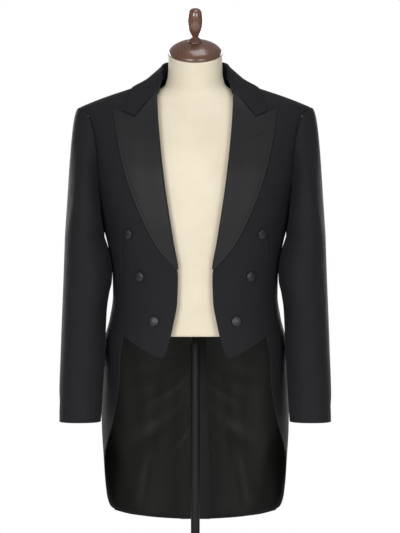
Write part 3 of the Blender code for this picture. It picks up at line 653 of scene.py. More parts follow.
class Nodes:
    """Short way of writing a material's node tree."""

    def __init__(self, name):
        self.material = bpy.data.materials.new(name)
        self.material.use_nodes = True
        self.tree = self.material.node_tree
        self.shader = self.tree.nodes["Principled BSDF"]

    def add(self, kind, settings=None, **inputs):
        node = self.tree.nodes.new(kind)
        for key, value in (settings or {}).items():
            setattr(node, key, value)
        for key, value in inputs.items():
            numbered = key[0] == "i" and key[1:].isdigit()
            self.give(node.inputs[int(key[1:]) if numbered else key.replace("_", " ")], value)
        return node

    def give(self, socket, value):
        if isinstance(value, bpy.types.NodeSocket):
            self.tree.links.new(value, socket)
        else:
            socket.default_value = value

    def math(self, operation, first, second=0.0, third=0.0):
        return self.add("ShaderNodeMath", {"operation": operation}, i0=first, i1=second, i2=third).outputs[0]

    def weighted(self, *parts):
        """Sum of values, each times its share."""
        total = self.math("MULTIPLY", *parts[-1])
        for value, share in reversed(parts[:-1]):
            total = self.math("MULTIPLY_ADD", value, share, total)
        return total

    def noise(self, vector, scale, detail=3.0, roughness=0.5):
        node = self.add("ShaderNodeTexNoise", Vector=vector, Scale=scale, Detail=detail, Roughness=roughness)
        return node.outputs[0]

    def ramp(self, value, low, high, low_at=0.0, high_at=1.0):
        node = self.add("ShaderNodeValToRGB", i0=value)
        first, last = node.color_ramp.elements
        first.position, first.color = low_at, (*low, 1.0)
        last.position, last.color = high_at, (*high, 1.0)
        return node.outputs[0]

    def set(self, **values):
        for key, value in values.items():
            self.give(self.shader.inputs[key.replace("_", " ")], value)
        return self.material

    def bump(self, height, strength, distance):
        node = self.add("ShaderNodeBump", Strength=strength, Distance=distance, Height=height)
        self.give(self.shader.inputs["Normal"], node.outputs[0])


def stripes(n, coordinate, pitch):
    """Wave from 0 to 1 along a coordinate in metres."""
    wave = n.math("SINE", n.math("MULTIPLY", coordinate, 2 * math.pi / pitch))
    return n.math("MULTIPLY_ADD", wave, 0.5, 0.5)


def weave_coordinates(n):
    flat = n.add("ShaderNodeUVMap", {"uv_map": "cloth"}).outputs[0]
    parts = n.add("ShaderNodeSeparateXYZ", Vector=flat).outputs
    return flat, parts[0], parts[1]


def cloth_look(name, dark, light, rough, rough_spread, pitch, slant, depth, shine, sheen, mottle=9.0):
    """Woven cloth: yarns crossing at a slant, slubs, slow changes of tone, and the finish's shine."""
    n = Nodes(name)
    flat, across, up = weave_coordinates(n)
    warp = stripes(n, n.math("MULTIPLY_ADD", up, slant, across), pitch)
    weft = stripes(n, n.math("MULTIPLY_ADD", across, -0.35 * slant, up), pitch * 0.8)
    slubs = n.noise(flat, 2600.0, 2.0, 0.6)
    tone = n.noise(flat, mottle, 5.0, 0.62)
    fine = n.noise(flat, 420.0, 3.0, 0.7)
    cover = n.weighted((fine, 0.35), (n.math("MULTIPLY", warp, weft), 0.35), (tone, 0.55))
    colour = n.ramp(cover, dark, light, 0.18, 0.92)
    roughness = n.math("MULTIPLY_ADD", fine, rough_spread, rough - rough_spread / 2)
    n.bump(n.weighted((warp, 0.55), (weft, 0.30), (slubs, 0.45)), 0.55, depth)
    return n.set(
        Base_Color=colour,
        Roughness=roughness,
        Specular_IOR_Level=shine,
        Sheen_Weight=sheen,
        Sheen_Roughness=0.45,
        Sheen_Tint=(0.75, 0.77, 0.85, 1.0),
    )


def lining_look():
    """Satin lining: thin ribs along the grain, slightly brighter yarns, and a smooth shine."""
    n = Nodes("satin_lining")
    flat, across, up = weave_coordinates(n)
    stretched = n.add("ShaderNodeMapping", Vector=flat, Scale=(260.0, 7.0, 1.0)).outputs[0]
    streaks = n.noise(stretched, 1.0, 4.0, 0.6)
    ribs = stripes(n, across, 0.0044)
    tone = n.noise(flat, 14.0, 4.0, 0.6)
    cover = n.weighted((streaks, 0.55), (ribs, 0.22), (tone, 0.35))
    colour = n.ramp(cover, (0.0010, 0.0010, 0.0006), (0.0044, 0.0040, 0.0026), 0.25, 0.95)
    roughness = n.math("MULTIPLY_ADD", streaks, 0.18, 0.28)
    n.bump(n.weighted((ribs, 0.5), (streaks, 0.6)), 0.45, 0.00022)
    return n.set(Base_Color=colour, Roughness=roughness, Specular_IOR_Level=0.14, Sheen_Weight=0.0)


def jersey_look():
    """Cream knitted cover of the form: fine wales, a little fuzz and handling marks."""
    n = Nodes("cream_jersey")
    place = n.add("ShaderNodeTexCoord").outputs["Object"]
    parts = n.add("ShaderNodeSeparateXYZ", Vector=place).outputs
    turn = n.math("ARCTAN2", parts[0], parts[1])
    wales = stripes(n, turn, 0.011)
    courses = stripes(n, parts[2], 0.0011)
    tone = n.noise(place, 11.0, 4.0, 0.55)
    fuzz = n.noise(place, 900.0, 3.0, 0.65)
    cover = n.weighted((tone, 0.75), (fuzz, 0.3))
    colour = n.ramp(cover, (0.470, 0.418, 0.318), (0.585, 0.532, 0.425), 0.25, 0.85)
    n.bump(n.weighted((n.math("MULTIPLY", wales, courses), 0.6), (fuzz, 0.5)), 0.35, 0.0003)
    roughness = n.math("MULTIPLY_ADD", fuzz, 0.15, 0.72)
    return n.set(Base_Color=colour, Roughness=roughness, Specular_IOR_Level=0.20, Sheen_Weight=0.12)


def walnut_look():
    """Turned walnut: growth rings seen on the side, dark pores and a lacquer coat."""
    n = Nodes("turned_walnut")
    place = n.add("ShaderNodeTexCoord").outputs["Object"]
    mapping = n.add("ShaderNodeMapping", Vector=place, Rotation=(0.1, 0.06, 0.0), Scale=(1.0, 0.35, 0.22))
    stretched = mapping.outputs[0]
    warp = n.noise(stretched, 22.0, 3.0, 0.5)
    shift = (0.03, 0.03, 0.03)
    moved = n.add("ShaderNodeVectorMath", {"operation": "MULTIPLY_ADD"}, i0=warp, i1=shift, i2=stretched)
    bands = n.add(
        "ShaderNodeTexWave",
        {"wave_type": "BANDS", "bands_direction": "X"},
        Vector=moved.outputs[0],
        Scale=70.0,
        Distortion=3.0,
        Detail=3.0,
        Detail_Scale=1.4,
    ).outputs["Fac"]
    long_grain = n.add("ShaderNodeMapping", Vector=place, Scale=(1.0, 1.0, 0.06)).outputs[0]
    pores = n.noise(long_grain, 900.0, 2.0, 0.5)
    slow = n.noise(place, 30.0, 3.0, 0.5)
    cover = n.weighted((bands, 0.26), (pores, 0.38), (slow, 0.36))
    colour = n.ramp(cover, (0.030, 0.0085, 0.0045), (0.135, 0.055, 0.027), 0.20, 0.85)
    n.bump(pores, 0.10, 0.0003)
    return n.set(
        Base_Color=colour,
        Roughness=n.math("MULTIPLY_ADD", pores, 0.15, 0.30),
        Specular_IOR_Level=0.5,
        Coat_Weight=0.55,
        Coat_Roughness=0.16,
    )


def metal_look():
    """Matt black powder coat over steel."""
    n = Nodes("black_powder_coat")
    place = n.add("ShaderNodeTexCoord").outputs["Object"]
    grain = n.noise(place, 1400.0, 2.0, 0.6)
    tone = n.noise(place, 18.0, 4.0, 0.6)
    colour = n.ramp(tone, (0.0030, 0.0030, 0.0031), (0.0065, 0.0065, 0.0068), 0.3, 0.8)
    n.bump(grain, 0.30, 0.00012)
    roughness = n.math("MULTIPLY_ADD", tone, 0.18, 0.50)
    return n.set(Base_Color=colour, Roughness=roughness, Specular_IOR_Level=0.18)


def floor_look(radius):
    """Pale floor that glows brighter towards its rim, a painted glow that fades it into the white surround."""
    n = Nodes("pale_floor")
    place = n.add("ShaderNodeTexCoord").outputs["Object"]
    tone = n.noise(place, 1.5, 3.0, 0.5)
    colour = n.ramp(tone, (0.86, 0.86, 0.86), (0.90, 0.90, 0.90), 0.2, 0.8)
    distance = n.add("ShaderNodeVectorMath", {"operation": "LENGTH"}, i0=place).outputs["Value"]
    eased = {"interpolation_type": "SMOOTHSTEP"}
    # painted glow: emission that rises from nothing near the stand to full strength near the rim, so the floor
    # lights itself
    painted_glow = n.add("ShaderNodeMapRange", eased, i0=distance, i1=0.25, i2=radius * 0.92)
    return n.set(
        Base_Color=colour,
        Roughness=0.85,
        Specular_IOR_Level=0.1,
        Emission_Color=(1.0, 1.0, 1.0, 1.0),
        Emission_Strength=painted_glow.outputs[0],
    )


WOOL = cloth_look(
    "wool_barathea", dark=(0.0046, 0.0046, 0.0056), light=(0.0135, 0.0135, 0.0152), rough=0.72,
    rough_spread=0.16, pitch=0.00085, slant=0.6, depth=0.00022, shine=0.10, sheen=0.020,
)
SILK = cloth_look(
    "silk_facing", dark=(0.0048, 0.0048, 0.0056), light=(0.0115, 0.0115, 0.0128), rough=0.50,
    rough_spread=0.12, pitch=0.00060, slant=0.12, depth=0.00012, shine=0.16, sheen=0.02, mottle=5.0,
)
BUTTON_SILK = cloth_look(
    "button_silk", dark=(0.0040, 0.0040, 0.0048), light=(0.0115, 0.0115, 0.0130), rough=0.34,
    rough_spread=0.10, pitch=0.00060, slant=0.12, depth=0.00010, shine=0.32, sheen=0.01,
)
THREAD = cloth_look(
    "silk_thread", dark=(0.0060, 0.0060, 0.0068), light=(0.0150, 0.0150, 0.0165), rough=0.60,
    rough_spread=0.10, pitch=0.00040, slant=1.0, depth=0.00008, shine=0.14, sheen=0.02,
)
LINING = lining_look()
JERSEY = jersey_look()
WALNUT = walnut_look()
METAL = metal_look()

SIDES = (("left", 1), ("right", -1))

# ---------------------------------------- dress form


def form_points(segments, rows):
    heights = FORM.rows[0, 0] + (FORM.rows[-1, 0] - FORM.rows[0, 0]) * np.linspace(0.0, 1.0, rows)
    angles = np.linspace(0.0, 360.0, segments, endpoint=False)[None, :]
    h = heights[:, None]
    read = {name: FORM.read(h, name) for name in FORM.names[1:]}
    x, y = section_point(read["half_width"], read["front"], read["back"], read["squareness"], angles)
    rise = y * np.tan(np.radians(read["lean"]))
    return np.stack([x, read["centre_y"] + y, HEM_ABOVE_FLOOR + h + rise], -1)


def closed_rings(name, points):
    """Closed solid through rings of points, its two ends closed by rings that shrink to a centre."""
    rows, segments = points.shape[:2]
    number = np.arange(rows * segments).reshape(rows, segments)
    after = np.roll(number, -1, axis=1)
    faces = np.stack([number[:-1], after[:-1], after[1:], number[1:]], -1).reshape(-1, 4)
    return mesh_object(name, points.reshape(-1, 3), faces)


def with_ends(points, ends=(0.985, 0.9, 0.6, 0.02)):
    """Adds rings that close the first and the last ring of a tube towards their centres."""
    first, last = points[0], points[-1]
    low = [first.mean(0) + (first - first.mean(0)) * share for share in ends]
    high = [last.mean(0) + (last - last.mean(0)) * share for share in ends]
    return np.concatenate([np.array(low[::-1]), points, np.array(high)])


def make_form():
    torso = closed_rings("form_torso_cover", with_ends(form_points(120, 170)))
    finish_piece(torso, JERSEY, ["form_torso"])


def turned_mesh(name, profile, segments, place):
    """Solid of revolution about +Z through (radius, height) pairs, from axis to axis, then placed."""
    profile = np.array(profile, float)
    turns = np.linspace(0.0, 2 * math.pi, segments, endpoint=False)
    radius = np.maximum(profile[:, :1], 1e-5)
    heights = np.broadcast_to(profile[:, 1:], (len(profile), segments))
    rings = np.stack([radius * np.cos(turns), radius * np.sin(turns), heights], -1)
    matrix = np.array(place)
    return closed_rings(name, rings @ matrix[:3, :3].T + matrix[:3, 3])


def curve_through(points, per_span=8):
    """Smooth profile through (radius, height) pairs: a Catmull-Rom curve."""
    p = np.array(points, float)
    p = np.concatenate([[2 * p[0] - p[1]], p, [2 * p[-1] - p[-2]]])
    made = []
    for k in range(1, len(p) - 2):
        for t in np.linspace(0.0, 1.0, per_span, endpoint=False):
            linear = (p[k + 1] - p[k - 1]) * t
            square = (2 * p[k - 1] - 5 * p[k] + 4 * p[k + 1] - p[k + 2]) * t**2
            cube = (3 * p[k] - p[k - 1] - 3 * p[k + 1] + p[k + 2]) * t**3
            made.append(0.5 * (2 * p[k] + linear + square + cube))
    made.append(p[-2])
    return made


def neck_place():
    centre_y, height = FORM.rows[-1, FORM.names.index("centre_y")], FORM.rows[-1, 0]
    place = Matrix.Translation((0.0, centre_y, HEM_ABOVE_FLOOR + height + 0.0004))
    return place @ Matrix.Rotation(math.radians(NECK_LEAN), 4, "X")


def make_cap():
    cap = [(0.0, 0.0), (0.0505, 0.0)]
    cap += curve_through([(0.0520, 0.0004), (0.0535, 0.0026), (0.0520, 0.0070), (0.0455, 0.0135),
                          (0.0350, 0.0195), (0.0220, 0.0240), (0.0100, 0.0258), (0.0, 0.0262)])
    finish_piece(turned_mesh("form_cap_turned", cap, 96, neck_place()), WALNUT, ["form_cap"])
    finial = [(0.0, 0.0260), (0.0130, 0.0260)]
    finial += curve_through([(0.0143, 0.0262), (0.0134, 0.0278), (0.0096, 0.0315), (0.0068, 0.0345),
                             (0.0063, 0.0365), (0.0096, 0.0440), (0.0135, 0.0530), (0.0156, 0.0640),
                             (0.0156, 0.0740), (0.0136, 0.0850), (0.0092, 0.0928), (0.0, 0.0960)])
    finish_piece(turned_mesh("form_finial_turned", finial, 72, neck_place()), WALNUT, ["form_finial"])


def make_neck_cord():
    """Piped edge where the cover meets the cap."""
    bead, segments, turns = 0.0011, 96, 10
    around = np.linspace(0.0, 2 * math.pi, segments, endpoint=False)
    points = []
    for k in range(turns):
        small = 2 * math.pi * k / turns
        radius = 0.0541 + bead * math.cos(small)
        points.append(np.stack([radius * np.cos(around), radius * np.sin(around),
                                np.full(segments, -0.0009 + bead * math.sin(small))], -1))
    rings = np.array(points)
    matrix = np.array(neck_place())
    rings = rings @ matrix[:3, :3].T + matrix[:3, 3]
    number = np.arange(turns * segments).reshape(turns, segments)
    after, above = np.roll(number, -1, axis=1), np.roll(number, -1, axis=0)
    faces = np.stack([number, after, np.roll(after, -1, axis=0), above], -1).reshape(-1, 4)
    item = mesh_object("form_neck_piping", rings.reshape(-1, 3), faces)
    finish_piece(item, JERSEY)


def make_stand():
    level = Matrix.Identity(4)
    top, radius = BASE_THICKNESS, BASE_RADIUS
    plate = [(0.0, 0.0), (radius - 0.003, 0.0)]
    plate += curve_through([(radius - 0.0015, 0.0006), (radius, 0.003), (radius, top - 0.005),
                            (radius - 0.002, top - 0.001), (radius - 0.007, top)], 6)
    plate += [(0.05, top), (0.0, top)]
    finish_piece(turned_mesh("stand_base_plate", plate, 160, level), METAL, ["stand_base"])
    foot = top + HARD_GAP
    rim = foot + SOCKET_HEIGHT
    socket = [(0.0, foot), (0.0295, foot)]
    socket += curve_through([(0.0300, foot + 0.001), (0.0300, foot + 0.004), (0.0200, foot + 0.0085),
                             (0.0158, foot + 0.014), (0.0142, foot + 0.030), (0.0140, foot + 0.043),
                             (0.0125, rim)], 6)
    socket += [(0.0, rim)]
    finish_piece(turned_mesh("stand_socket_turned", socket, 64, level), METAL, ["stand_socket"])
    low = rim + HARD_GAP
    high = HEM_ABOVE_FLOOR + FORM.rows[0, 0] - HARD_GAP
    pole = [(0.0, low), (POLE_RADIUS - 0.0004, low), (POLE_RADIUS, low + 0.0004)]
    pole += [(POLE_RADIUS, low + (high - low) * t) for t in np.linspace(0.05, 0.95, 10)]
    pole += [(POLE_RADIUS, high), (0.0, high)]
    finish_piece(turned_mesh("stand_pole_tube", pole, 48, level), METAL, ["stand_pole"])


# ---------------------------------------- body panels


def across_body(angles):
    """Rough distance round the body from the centre front, in metres."""
    return np.radians(angles) * BODY_MEAN_RADIUS


def make_foreparts():
    levels = np.concatenate([
        np.linspace(0.345, 0.350, 4)[:-1],
        np.linspace(0.350, ARMPIT_HEIGHT, 86)[:-1],
        armhole_levels(90),
        np.linspace(SHOULDER_TIP_HEIGHT, NECK_SEAM_HEIGHT, 40)[1:],
    ])
    shares = spaced(112, 0.20)
    angles, heights = panel_grid(levels, shares, forepart_inner, forepart_outer, WAIST_LINE)
    for name, side in SIDES:
        lift = creased(across_body(angles) + 0.004 * (side < 0), heights, FOREPART_CREASES)
        line, low, high = DARTS[name]
        dart = np.exp(-(((body_middle(angles, heights)[..., 0] - line) / 0.0016) ** 2))
        dart *= smooth(low, low + 0.02, heights) * (1 - smooth(high - 0.02, high, heights))
        points = body_point(angles, heights, lift - 0.0010 * dart)
        points = dipped(points, right=True, top=True)
        wool_panel("forepart", name, side, points)


def make_sidebodies():
    levels = np.concatenate([np.linspace(WAIST_HEIGHT, ARMPIT_HEIGHT, 64)[:-1], armhole_levels(90)[:37]])
    angles, heights = panel_grid(levels, spaced(44, 0.14), sidebody_front, back_seam, WAIST_LINE, 0.50)
    for name, side in SIDES:
        points = body_point(angles, heights, creased(across_body(angles), heights, BACK_CREASES))
        points = dipped(points, left=True, right=True, bottom=True)
        wool_panel("sidebody", name, side, points)


def make_backs():
    levels = np.concatenate([
        np.linspace(0.0, WAIST_HEIGHT, 120)[:-1],
        np.linspace(WAIST_HEIGHT, ARMPIT_HEIGHT, 64)[:-1],
        armhole_levels(90),
        np.linspace(SHOULDER_TIP_HEIGHT, NECK_SEAM_HEIGHT, 40)[1:],
    ])
    angles, heights = panel_grid(levels, spaced(44, 0.12), back_outer, back_centre)
    for name, side in SIDES:
        across = across_body(angles)
        lift = creased(across, heights, BACK_CREASES) + tail_relief(across, heights, side)
        points = dipped(body_point(angles, heights, lift), left=True, right=True)
        wool_panel("back", name, side, points)


def tail_relief(across, heights, side):
    """Folds of the tails, which the back's lower part and the lining share."""
    return creased(across + 0.012 * (side < 0), heights, TAIL_CREASES) * smooth(0.40, 0.34, heights)


def tail_front(height):
    return TAIL_FRONT_EDGE.read(height, "angle")


def tail_hem(angle):
    return TAIL_HEM.read(angle, "height")


def make_tails():
    def waist(angle):
        return WAIST_LINE.read(angle, "height")

    angles, heights = skirt_grid(spaced(104, 0.40), spaced(76, 0.28), tail_front, back_seam, tail_hem, waist)
    for name, side in SIDES:
        lift = tail_relief(across_body(angles), heights, side)
        points = dipped(body_point(angles, heights, lift), right=True, top=True)
        wool_panel("tail", name, side, points)


def strip_edge(height):
    width = VENT_STRIP_HEM_WIDTH + (VENT_STRIP_TOP_WIDTH - VENT_STRIP_HEM_WIDTH) * height / 0.40
    return back_angle(width, height)


def make_linings():
    def hem(angle):
        return tail_hem(angle) + LINING_ABOVE_HEM

    def top(angle):
        return np.full(np.shape(angle), LINING_TOP)

    def front(height):
        return tail_front(height) + LINING_BEHIND_EDGE

    def centre(height):
        return np.full(np.shape(height), 179.8)

    for name, side, inner in (("left", 1, strip_edge), ("right", -1, centre)):
        angles, heights = skirt_grid(spaced(110, 0.35), spaced(96, 0.28), front, inner, hem, top)
        across = across_body(angles)
        own = creased(across + 0.010 * (side < 0), heights, LINING_CREASES)
        own = LINING_LIFT + np.minimum(own, -0.4 * LINING_LIFT)
        points = body_point(angles, heights, own + tail_relief(across, heights, side))
        cloth_piece(f"tail_lining_{name}_cloth", [f"tail_lining_{name}"], LINING, points,
                    LINING_THICKNESS, side)
    angles, heights = skirt_grid(spaced(150, 0.35), spaced(16, 0.03), strip_edge, centre, hem, top)
    by_edge = np.exp(-(((angles - strip_edge(heights) - 1.3) / 1.1) ** 2))
    pucker = PUCKER_DEPTH * np.sin(heights / PUCKER_PITCH * 2 * math.pi) * by_edge
    relief = tail_relief(across_body(angles), heights, 1)
    points = body_point(angles, heights, LINING_LIFT - STRIP_SET_IN + pucker + relief)
    cloth_piece("vent_facing_cloth", ["vent_facing"], WOOL, points, STRIP_THICKNESS, 1)


# ---------------------------------------- lapels and collar


def lapel_places(s, t):
    """Distance from the centre and height of the lapel's points; s: roll to edge, t: foot to gorge."""
    edge_height = LAPEL_FOOT_HEIGHT + (PEAK_TIP[1] - LAPEL_FOOT_HEIGHT) * t
    roll_height = LAPEL_FOOT_HEIGHT + (GORGE[0][1] - LAPEL_FOOT_HEIGHT) * t
    set_back = ROLL_SET_BACK * smooth(0.0, 0.16, t)
    inner = np.stack([FRONT_EDGE.read(roll_height, "from_centre") + set_back, roll_height], -1)
    outer = np.stack([LAPEL_EDGE.read(edge_height, "from_centre"), edge_height], -1)
    roll, notch, tip = np.array(GORGE[0]), np.array(GORGE[2]), np.array(PEAK_TIP)
    s, t = s[..., None], t[..., None]
    top = np.where(s < 0.5, roll + (notch - roll) * s / 0.5, notch + (tip - notch) * (s - 0.5) / 0.5)
    straight = roll + (tip - roll) * s
    return inner + (outer - inner) * s + (top - straight) * t**3


def lapel_grid():
    """Middle points of the lapel, its roll and facing, then distances from its edge and its foot."""
    rows, columns = spaced(290, 0.35), spaced(44, 0.08)
    t, s = np.broadcast_arrays(rows[:, None], columns[None, :])
    place = lapel_places(s, t)
    angles = front_angle(place[..., 0], place[..., 1])
    normal = body_normal(angles, place[..., 1])
    base = body_middle(angles, place[..., 1])
    across = lengths_along(base, 1)
    from_edge = across[:, -1:] - across
    radius = ROLL_RADIUS_AT_FOOT + (ROLL_RADIUS - ROLL_RADIUS_AT_FOOT) * smooth(0.0, 0.12, t)
    roll = np.exp(-((across / ROLL_FADE) ** 2))
    lift = LAPEL_LIFT + (radius + ROLL_CLEARANCE - LAPEL_LIFT) * roll
    along = lengths_along(base, 0)[:, -1:]
    stitch = np.exp(-(((from_edge - PICK_STITCH_INSET) / 0.0011) ** 2))
    pulled = 0.5 + 0.5 * np.cos(2 * math.pi * along / PICK_STITCH_PITCH)
    swell = 0.00035 * np.exp(-(((from_edge - 0.0008) / 0.0010) ** 2))
    lift = lift - stitch * (0.00015 + 0.00045 * pulled) + swell
    soft = creased(across, place[..., 1], LAPEL_CREASES)
    leaf = base + normal * (lift + soft)[..., None]
    towards_centre = unit(base[:, 0] - base[:, 1])
    start, out = base[:, 0], normal[:, 0]
    r = radius[:, :1] + ROLL_CLEARANCE
    wrap = []
    for w in np.linspace(0.0, 1.0, 12)[1:]:
        turn = math.pi * w
        wrap.append(start + towards_centre * r * math.sin(turn) * 0.75 + out * r * math.cos(turn))
    for depth in np.linspace(0.0, FACING_DEPTH, 6)[1:]:
        wrap.append(start - towards_centre * depth - out * r)
    wrap = np.stack(wrap[::-1], 1)
    return np.concatenate([wrap, leaf], axis=1), from_edge, along


def stitch_row(name, points, directions, ups, length, radius, side):
    """Joined small rounded stitches lying at the given points."""
    segments, rings = 8, 6
    vertices, faces, count = [], [], 0
    for point, along, up in zip(points, directions, ups):
        across = np.cross(up, along)
        base = count
        for k in range(rings + 1):
            turn = math.pi * k / rings
            for m in range(segments):
                spin = 2 * math.pi * m / segments
                out, sunk = radius * math.sin(turn) ** 0.6, 0.00012 * math.cos(turn) ** 2
                vertices.append(
                    point + along * (length / 2 * -math.cos(turn))
                    + across * (out * math.cos(spin))
                    + up * (out * 0.8 * math.sin(spin) - sunk)
                )
        for k in range(rings):
            for m in range(segments):
                n = (m + 1) % segments
                low, high = base + k * segments, base + (k + 1) * segments
                faces.append([low + m, low + n, high + n, high + m])
        count += (rings + 1) * segments
    vertices, faces = np.array(vertices), np.array(faces)
    if side < 0:
        vertices = vertices * (-1.0, 1.0, 1.0)
        faces = faces[:, ::-1]
    flats = vertices[:, [0, 2]]
    item = mesh_object(name, vertices, faces, flats)
    return finish_piece(item, THREAD)


def make_lapels():
    points, from_edge, along = lapel_grid()
    normals = grid_normals(points)
    leaf_start = points.shape[1] - from_edge.shape[1]
    length = along[:, 0]
    wanted = np.arange(PICK_STITCH_PITCH, length[-1] - 0.004, PICK_STITCH_PITCH)
    rows = [int(np.abs(length - place).argmin()) for place in wanted]
    at = []
    for row in rows:
        line = from_edge[row]
        if line[0] > PICK_STITCH_INSET + 0.002:
            at.append((row, int(np.abs(line - PICK_STITCH_INSET).argmin()) + leaf_start))
    i, j = np.array(at).T
    directions = unit(points[np.minimum(i + 1, len(points) - 1), j] - points[np.maximum(i - 1, 0), j])
    tops = points[i, j] + normals[i, j] * (LAPEL_THICKNESS / 2 + 0.00005)
    for name, side in SIDES:
        cloth_piece(f"lapel_{name}_cloth", [f"lapel_{name}"], SILK, points, LAPEL_THICKNESS, side)
        stitch_row(f"lapel_stitches_{name}", tops, directions, normals[i, j], PICK_STITCH_LENGTH,
                   PICK_STITCH_RADIUS, side)


def raised_off_body(points, lift):
    """Moves points out along the body's normals where they are closer to the shoulder surface than the lift."""
    low, high = np.full(points.shape[:-1], 0.70), np.full(points.shape[:-1], BODY.rows[-1, 0])
    angle = np.degrees(np.arctan2(points[..., 0], -points[..., 1]))
    reach = np.linalg.norm(points[..., :2], axis=-1)
    for _ in range(28):
        height = (low + high) / 2
        outside = reach > np.linalg.norm(body_middle(angle, height)[..., :2], axis=-1)
        low, high = np.where(outside, low, height), np.where(outside, height, high)
    normal = body_normal(angle, height)
    distance = ((points - body_middle(angle, height)) * normal).sum(-1)
    short = lift - distance
    amount = np.where(short > 0.002, short, 0.001 * np.logaddexp(0.0, short / 0.001))
    return points + normal * amount[..., None]


def bezier(points, t):
    """Point of a Bezier curve given by stacked control points."""
    while len(points) > 1:
        points = [a * (1 - t) + b * t for a, b in zip(points, points[1:])]
    return points[0]


def collar_grid():
    along = np.linspace(0.0, 1.0, 120)
    fold = np.stack([COLLAR.read(along, "fold_x"), COLLAR.read(along, "fold_y"),
                     HEM_ABOVE_FLOOR + COLLAR.read(along, "fold_height")], -1)
    edge_angle, edge_height = COLLAR.read(along, "edge_angle"), COLLAR.read(along, "edge_height")
    edge, edge_normal = body_point(edge_angle, edge_height, COLLAR_LIFT), body_normal(edge_angle, edge_height)
    outward = unit((edge - fold) * (1.0, 1.0, 0.0))
    up = np.array((0.0, 0.0, 1.0))
    stand = COLLAR.read(along, "stand")[:, None]
    foot = fold - up * stand - outward * COLLAR_FOOT_REACH
    crest = fold + up * COLLAR_CREST_RISE + outward * COLLAR_CREST_REACH
    shoulder = fold + outward * COLLAR_TURN_REACH - up * COLLAR_TURN_DROP
    bulge = shoulder + (edge - shoulder) * 0.5 + unit(edge_normal + up * 0.6) * COLLAR_FALL_BULGE
    before = fold - up * COLLAR_STAND_SHORT
    rows = []
    for t in np.linspace(0.0, 1.0, 14)[:-1]:
        rows.append(foot + (before - foot) * t)
    over = crest + up * 0.0016 + outward * 0.0012
    for t in np.linspace(0.0, 1.0, 9)[:-1]:
        rows.append(bezier([before, fold + up * COLLAR_STAND_SHORT, over, shoulder], t))
    fall = [bezier([shoulder, bulge, edge], t) for t in spaced(34, 0.06, False, True)]
    fall = raised_off_body(np.stack(fall, 1), COLLAR_LIFT)
    points = np.concatenate([np.stack(rows, 1), fall], axis=1)
    across = lengths_along(points, 1)
    from_edge = across[:, -1:] - across
    swell = 0.00030 * np.exp(-(((from_edge - 0.0030) / 0.0016) ** 2))
    points = points - grid_normals(points) * swell[..., None]
    mirrored = points[1:][::-1] * (-1.0, 1.0, 1.0)
    return np.concatenate([mirrored, points])


def make_collar():
    points = collar_grid()
    cloth_piece("collar_cloth", ["collar"], WOOL, points, COLLAR_THICKNESS, 1)


# ---------------------------------------- pocket and buttons


def make_welt():
    t, s = np.meshgrid(spaced(26, WELT_HEIGHT), spaced(60, 0.06), indexing="ij")
    heights = WELT_BOTTOM + WELT_HEIGHT * t + 0.004 * s
    inner = LAPEL_EDGE.read(heights, "from_centre") - 0.004
    from_centre = inner + (WELT_OUTER_X - inner) * s
    angles = front_angle(from_centre, heights)
    stitched = 0.00035 * np.exp(-(((s * 0.058 - 0.0555) / 0.0006) ** 2))
    pressed, lipped = 0.0006 * (1 - smooth(0.0, 0.10, t)), 0.0004 * smooth(0.85, 1.0, t)
    lift = WOOL_THICKNESS / 2 + STRIP_SET_IN - stitched - pressed + lipped - 0.0012 * (1 - smooth(0.0, 0.12, s))
    points = body_point(angles, heights, lift)
    cloth_piece("breast_welt_cloth", ["breast_welt"], WOOL, points, STRIP_THICKNESS, 1)


def make_buttonhole():
    """Worked hole in the wearer's left lapel: close thread along both sides of a thin line and round its far
    end.
    """
    start, end = np.array((0.1140, 0.7800)), np.array((0.1375, 0.7905))
    lift = LAPEL_LIFT + LAPEL_THICKNESS / 2 + 0.0002
    along = (end - start) / np.linalg.norm(end - start)
    across = np.array((-along[1], along[0]))
    places, turns = [], []
    length = float(np.linalg.norm(end - start))
    for distance in np.arange(0.0, length + 1e-9, BUTTONHOLE_PITCH):
        for sign in (1.0, -1.0):
            places.append(start + along * distance + across * BUTTONHOLE_HALF_WIDTH * sign)
            turns.append(across)
    for k in range(9):
        spin = math.pi * k / 8 - math.pi / 2
        turned = along * math.cos(spin) + across * math.sin(spin)
        places.append(end + turned * BUTTONHOLE_HALF_WIDTH)
        turns.append(turned)
    places, turns = np.array(places), np.array(turns)
    angles = front_angle(places[:, 0], places[:, 1])
    points, normals = body_point(angles, places[:, 1], lift), body_normal(angles, places[:, 1])
    ahead = places + turns * 0.001
    heads = body_point(front_angle(ahead[:, 0], ahead[:, 1]), ahead[:, 1], lift)
    stitch_row("lapel_buttonhole", points, unit(heads - points), normals, BUTTONHOLE_STITCH_LENGTH,
               BUTTONHOLE_STITCH_RADIUS, 1)


def button_profile():
    radius, depth = 0.010, 0.0055
    profile = [(0.0, 0.0), (0.0062, 0.0)]
    profile += curve_through([(0.0070, 0.0002), (0.0092, 0.0010), (radius, 0.0022), (0.0097, 0.0036),
                              (0.0085, 0.0045), (0.0072, 0.0048), (0.0050, 0.0052), (0.0025, depth),
                              (0.0, depth)], 5)
    return profile


def placed_on(point, normal):
    return Matrix.Translation(Vector(point)) @ Vector(normal).to_track_quat("Z", "Y").to_matrix().to_4x4()


def make_buttons():
    for name, side in SIDES:
        places = []
        for k, (from_centre, height) in enumerate(BUTTON_PLACES):
            places.append((f"front_button_{name}_{k + 1}", front_angle(from_centre, height), height))
        places.append((f"back_button_{name}_1", back_angle(*BACK_BUTTON_PLACE), BACK_BUTTON_PLACE[1]))
        for node, angle, height in places:
            point = body_point(angle, height, WOOL_THICKNESS / 2 + 0.0004) * (side, 1.0, 1.0)
            normal = body_normal(angle, height) * (side, 1.0, 1.0)
            item = turned_mesh(node + "_covered", button_profile(), 56, placed_on(point, normal))
            add_flat_map(item)
            finish_piece(item, BUTTON_SILK, [node])


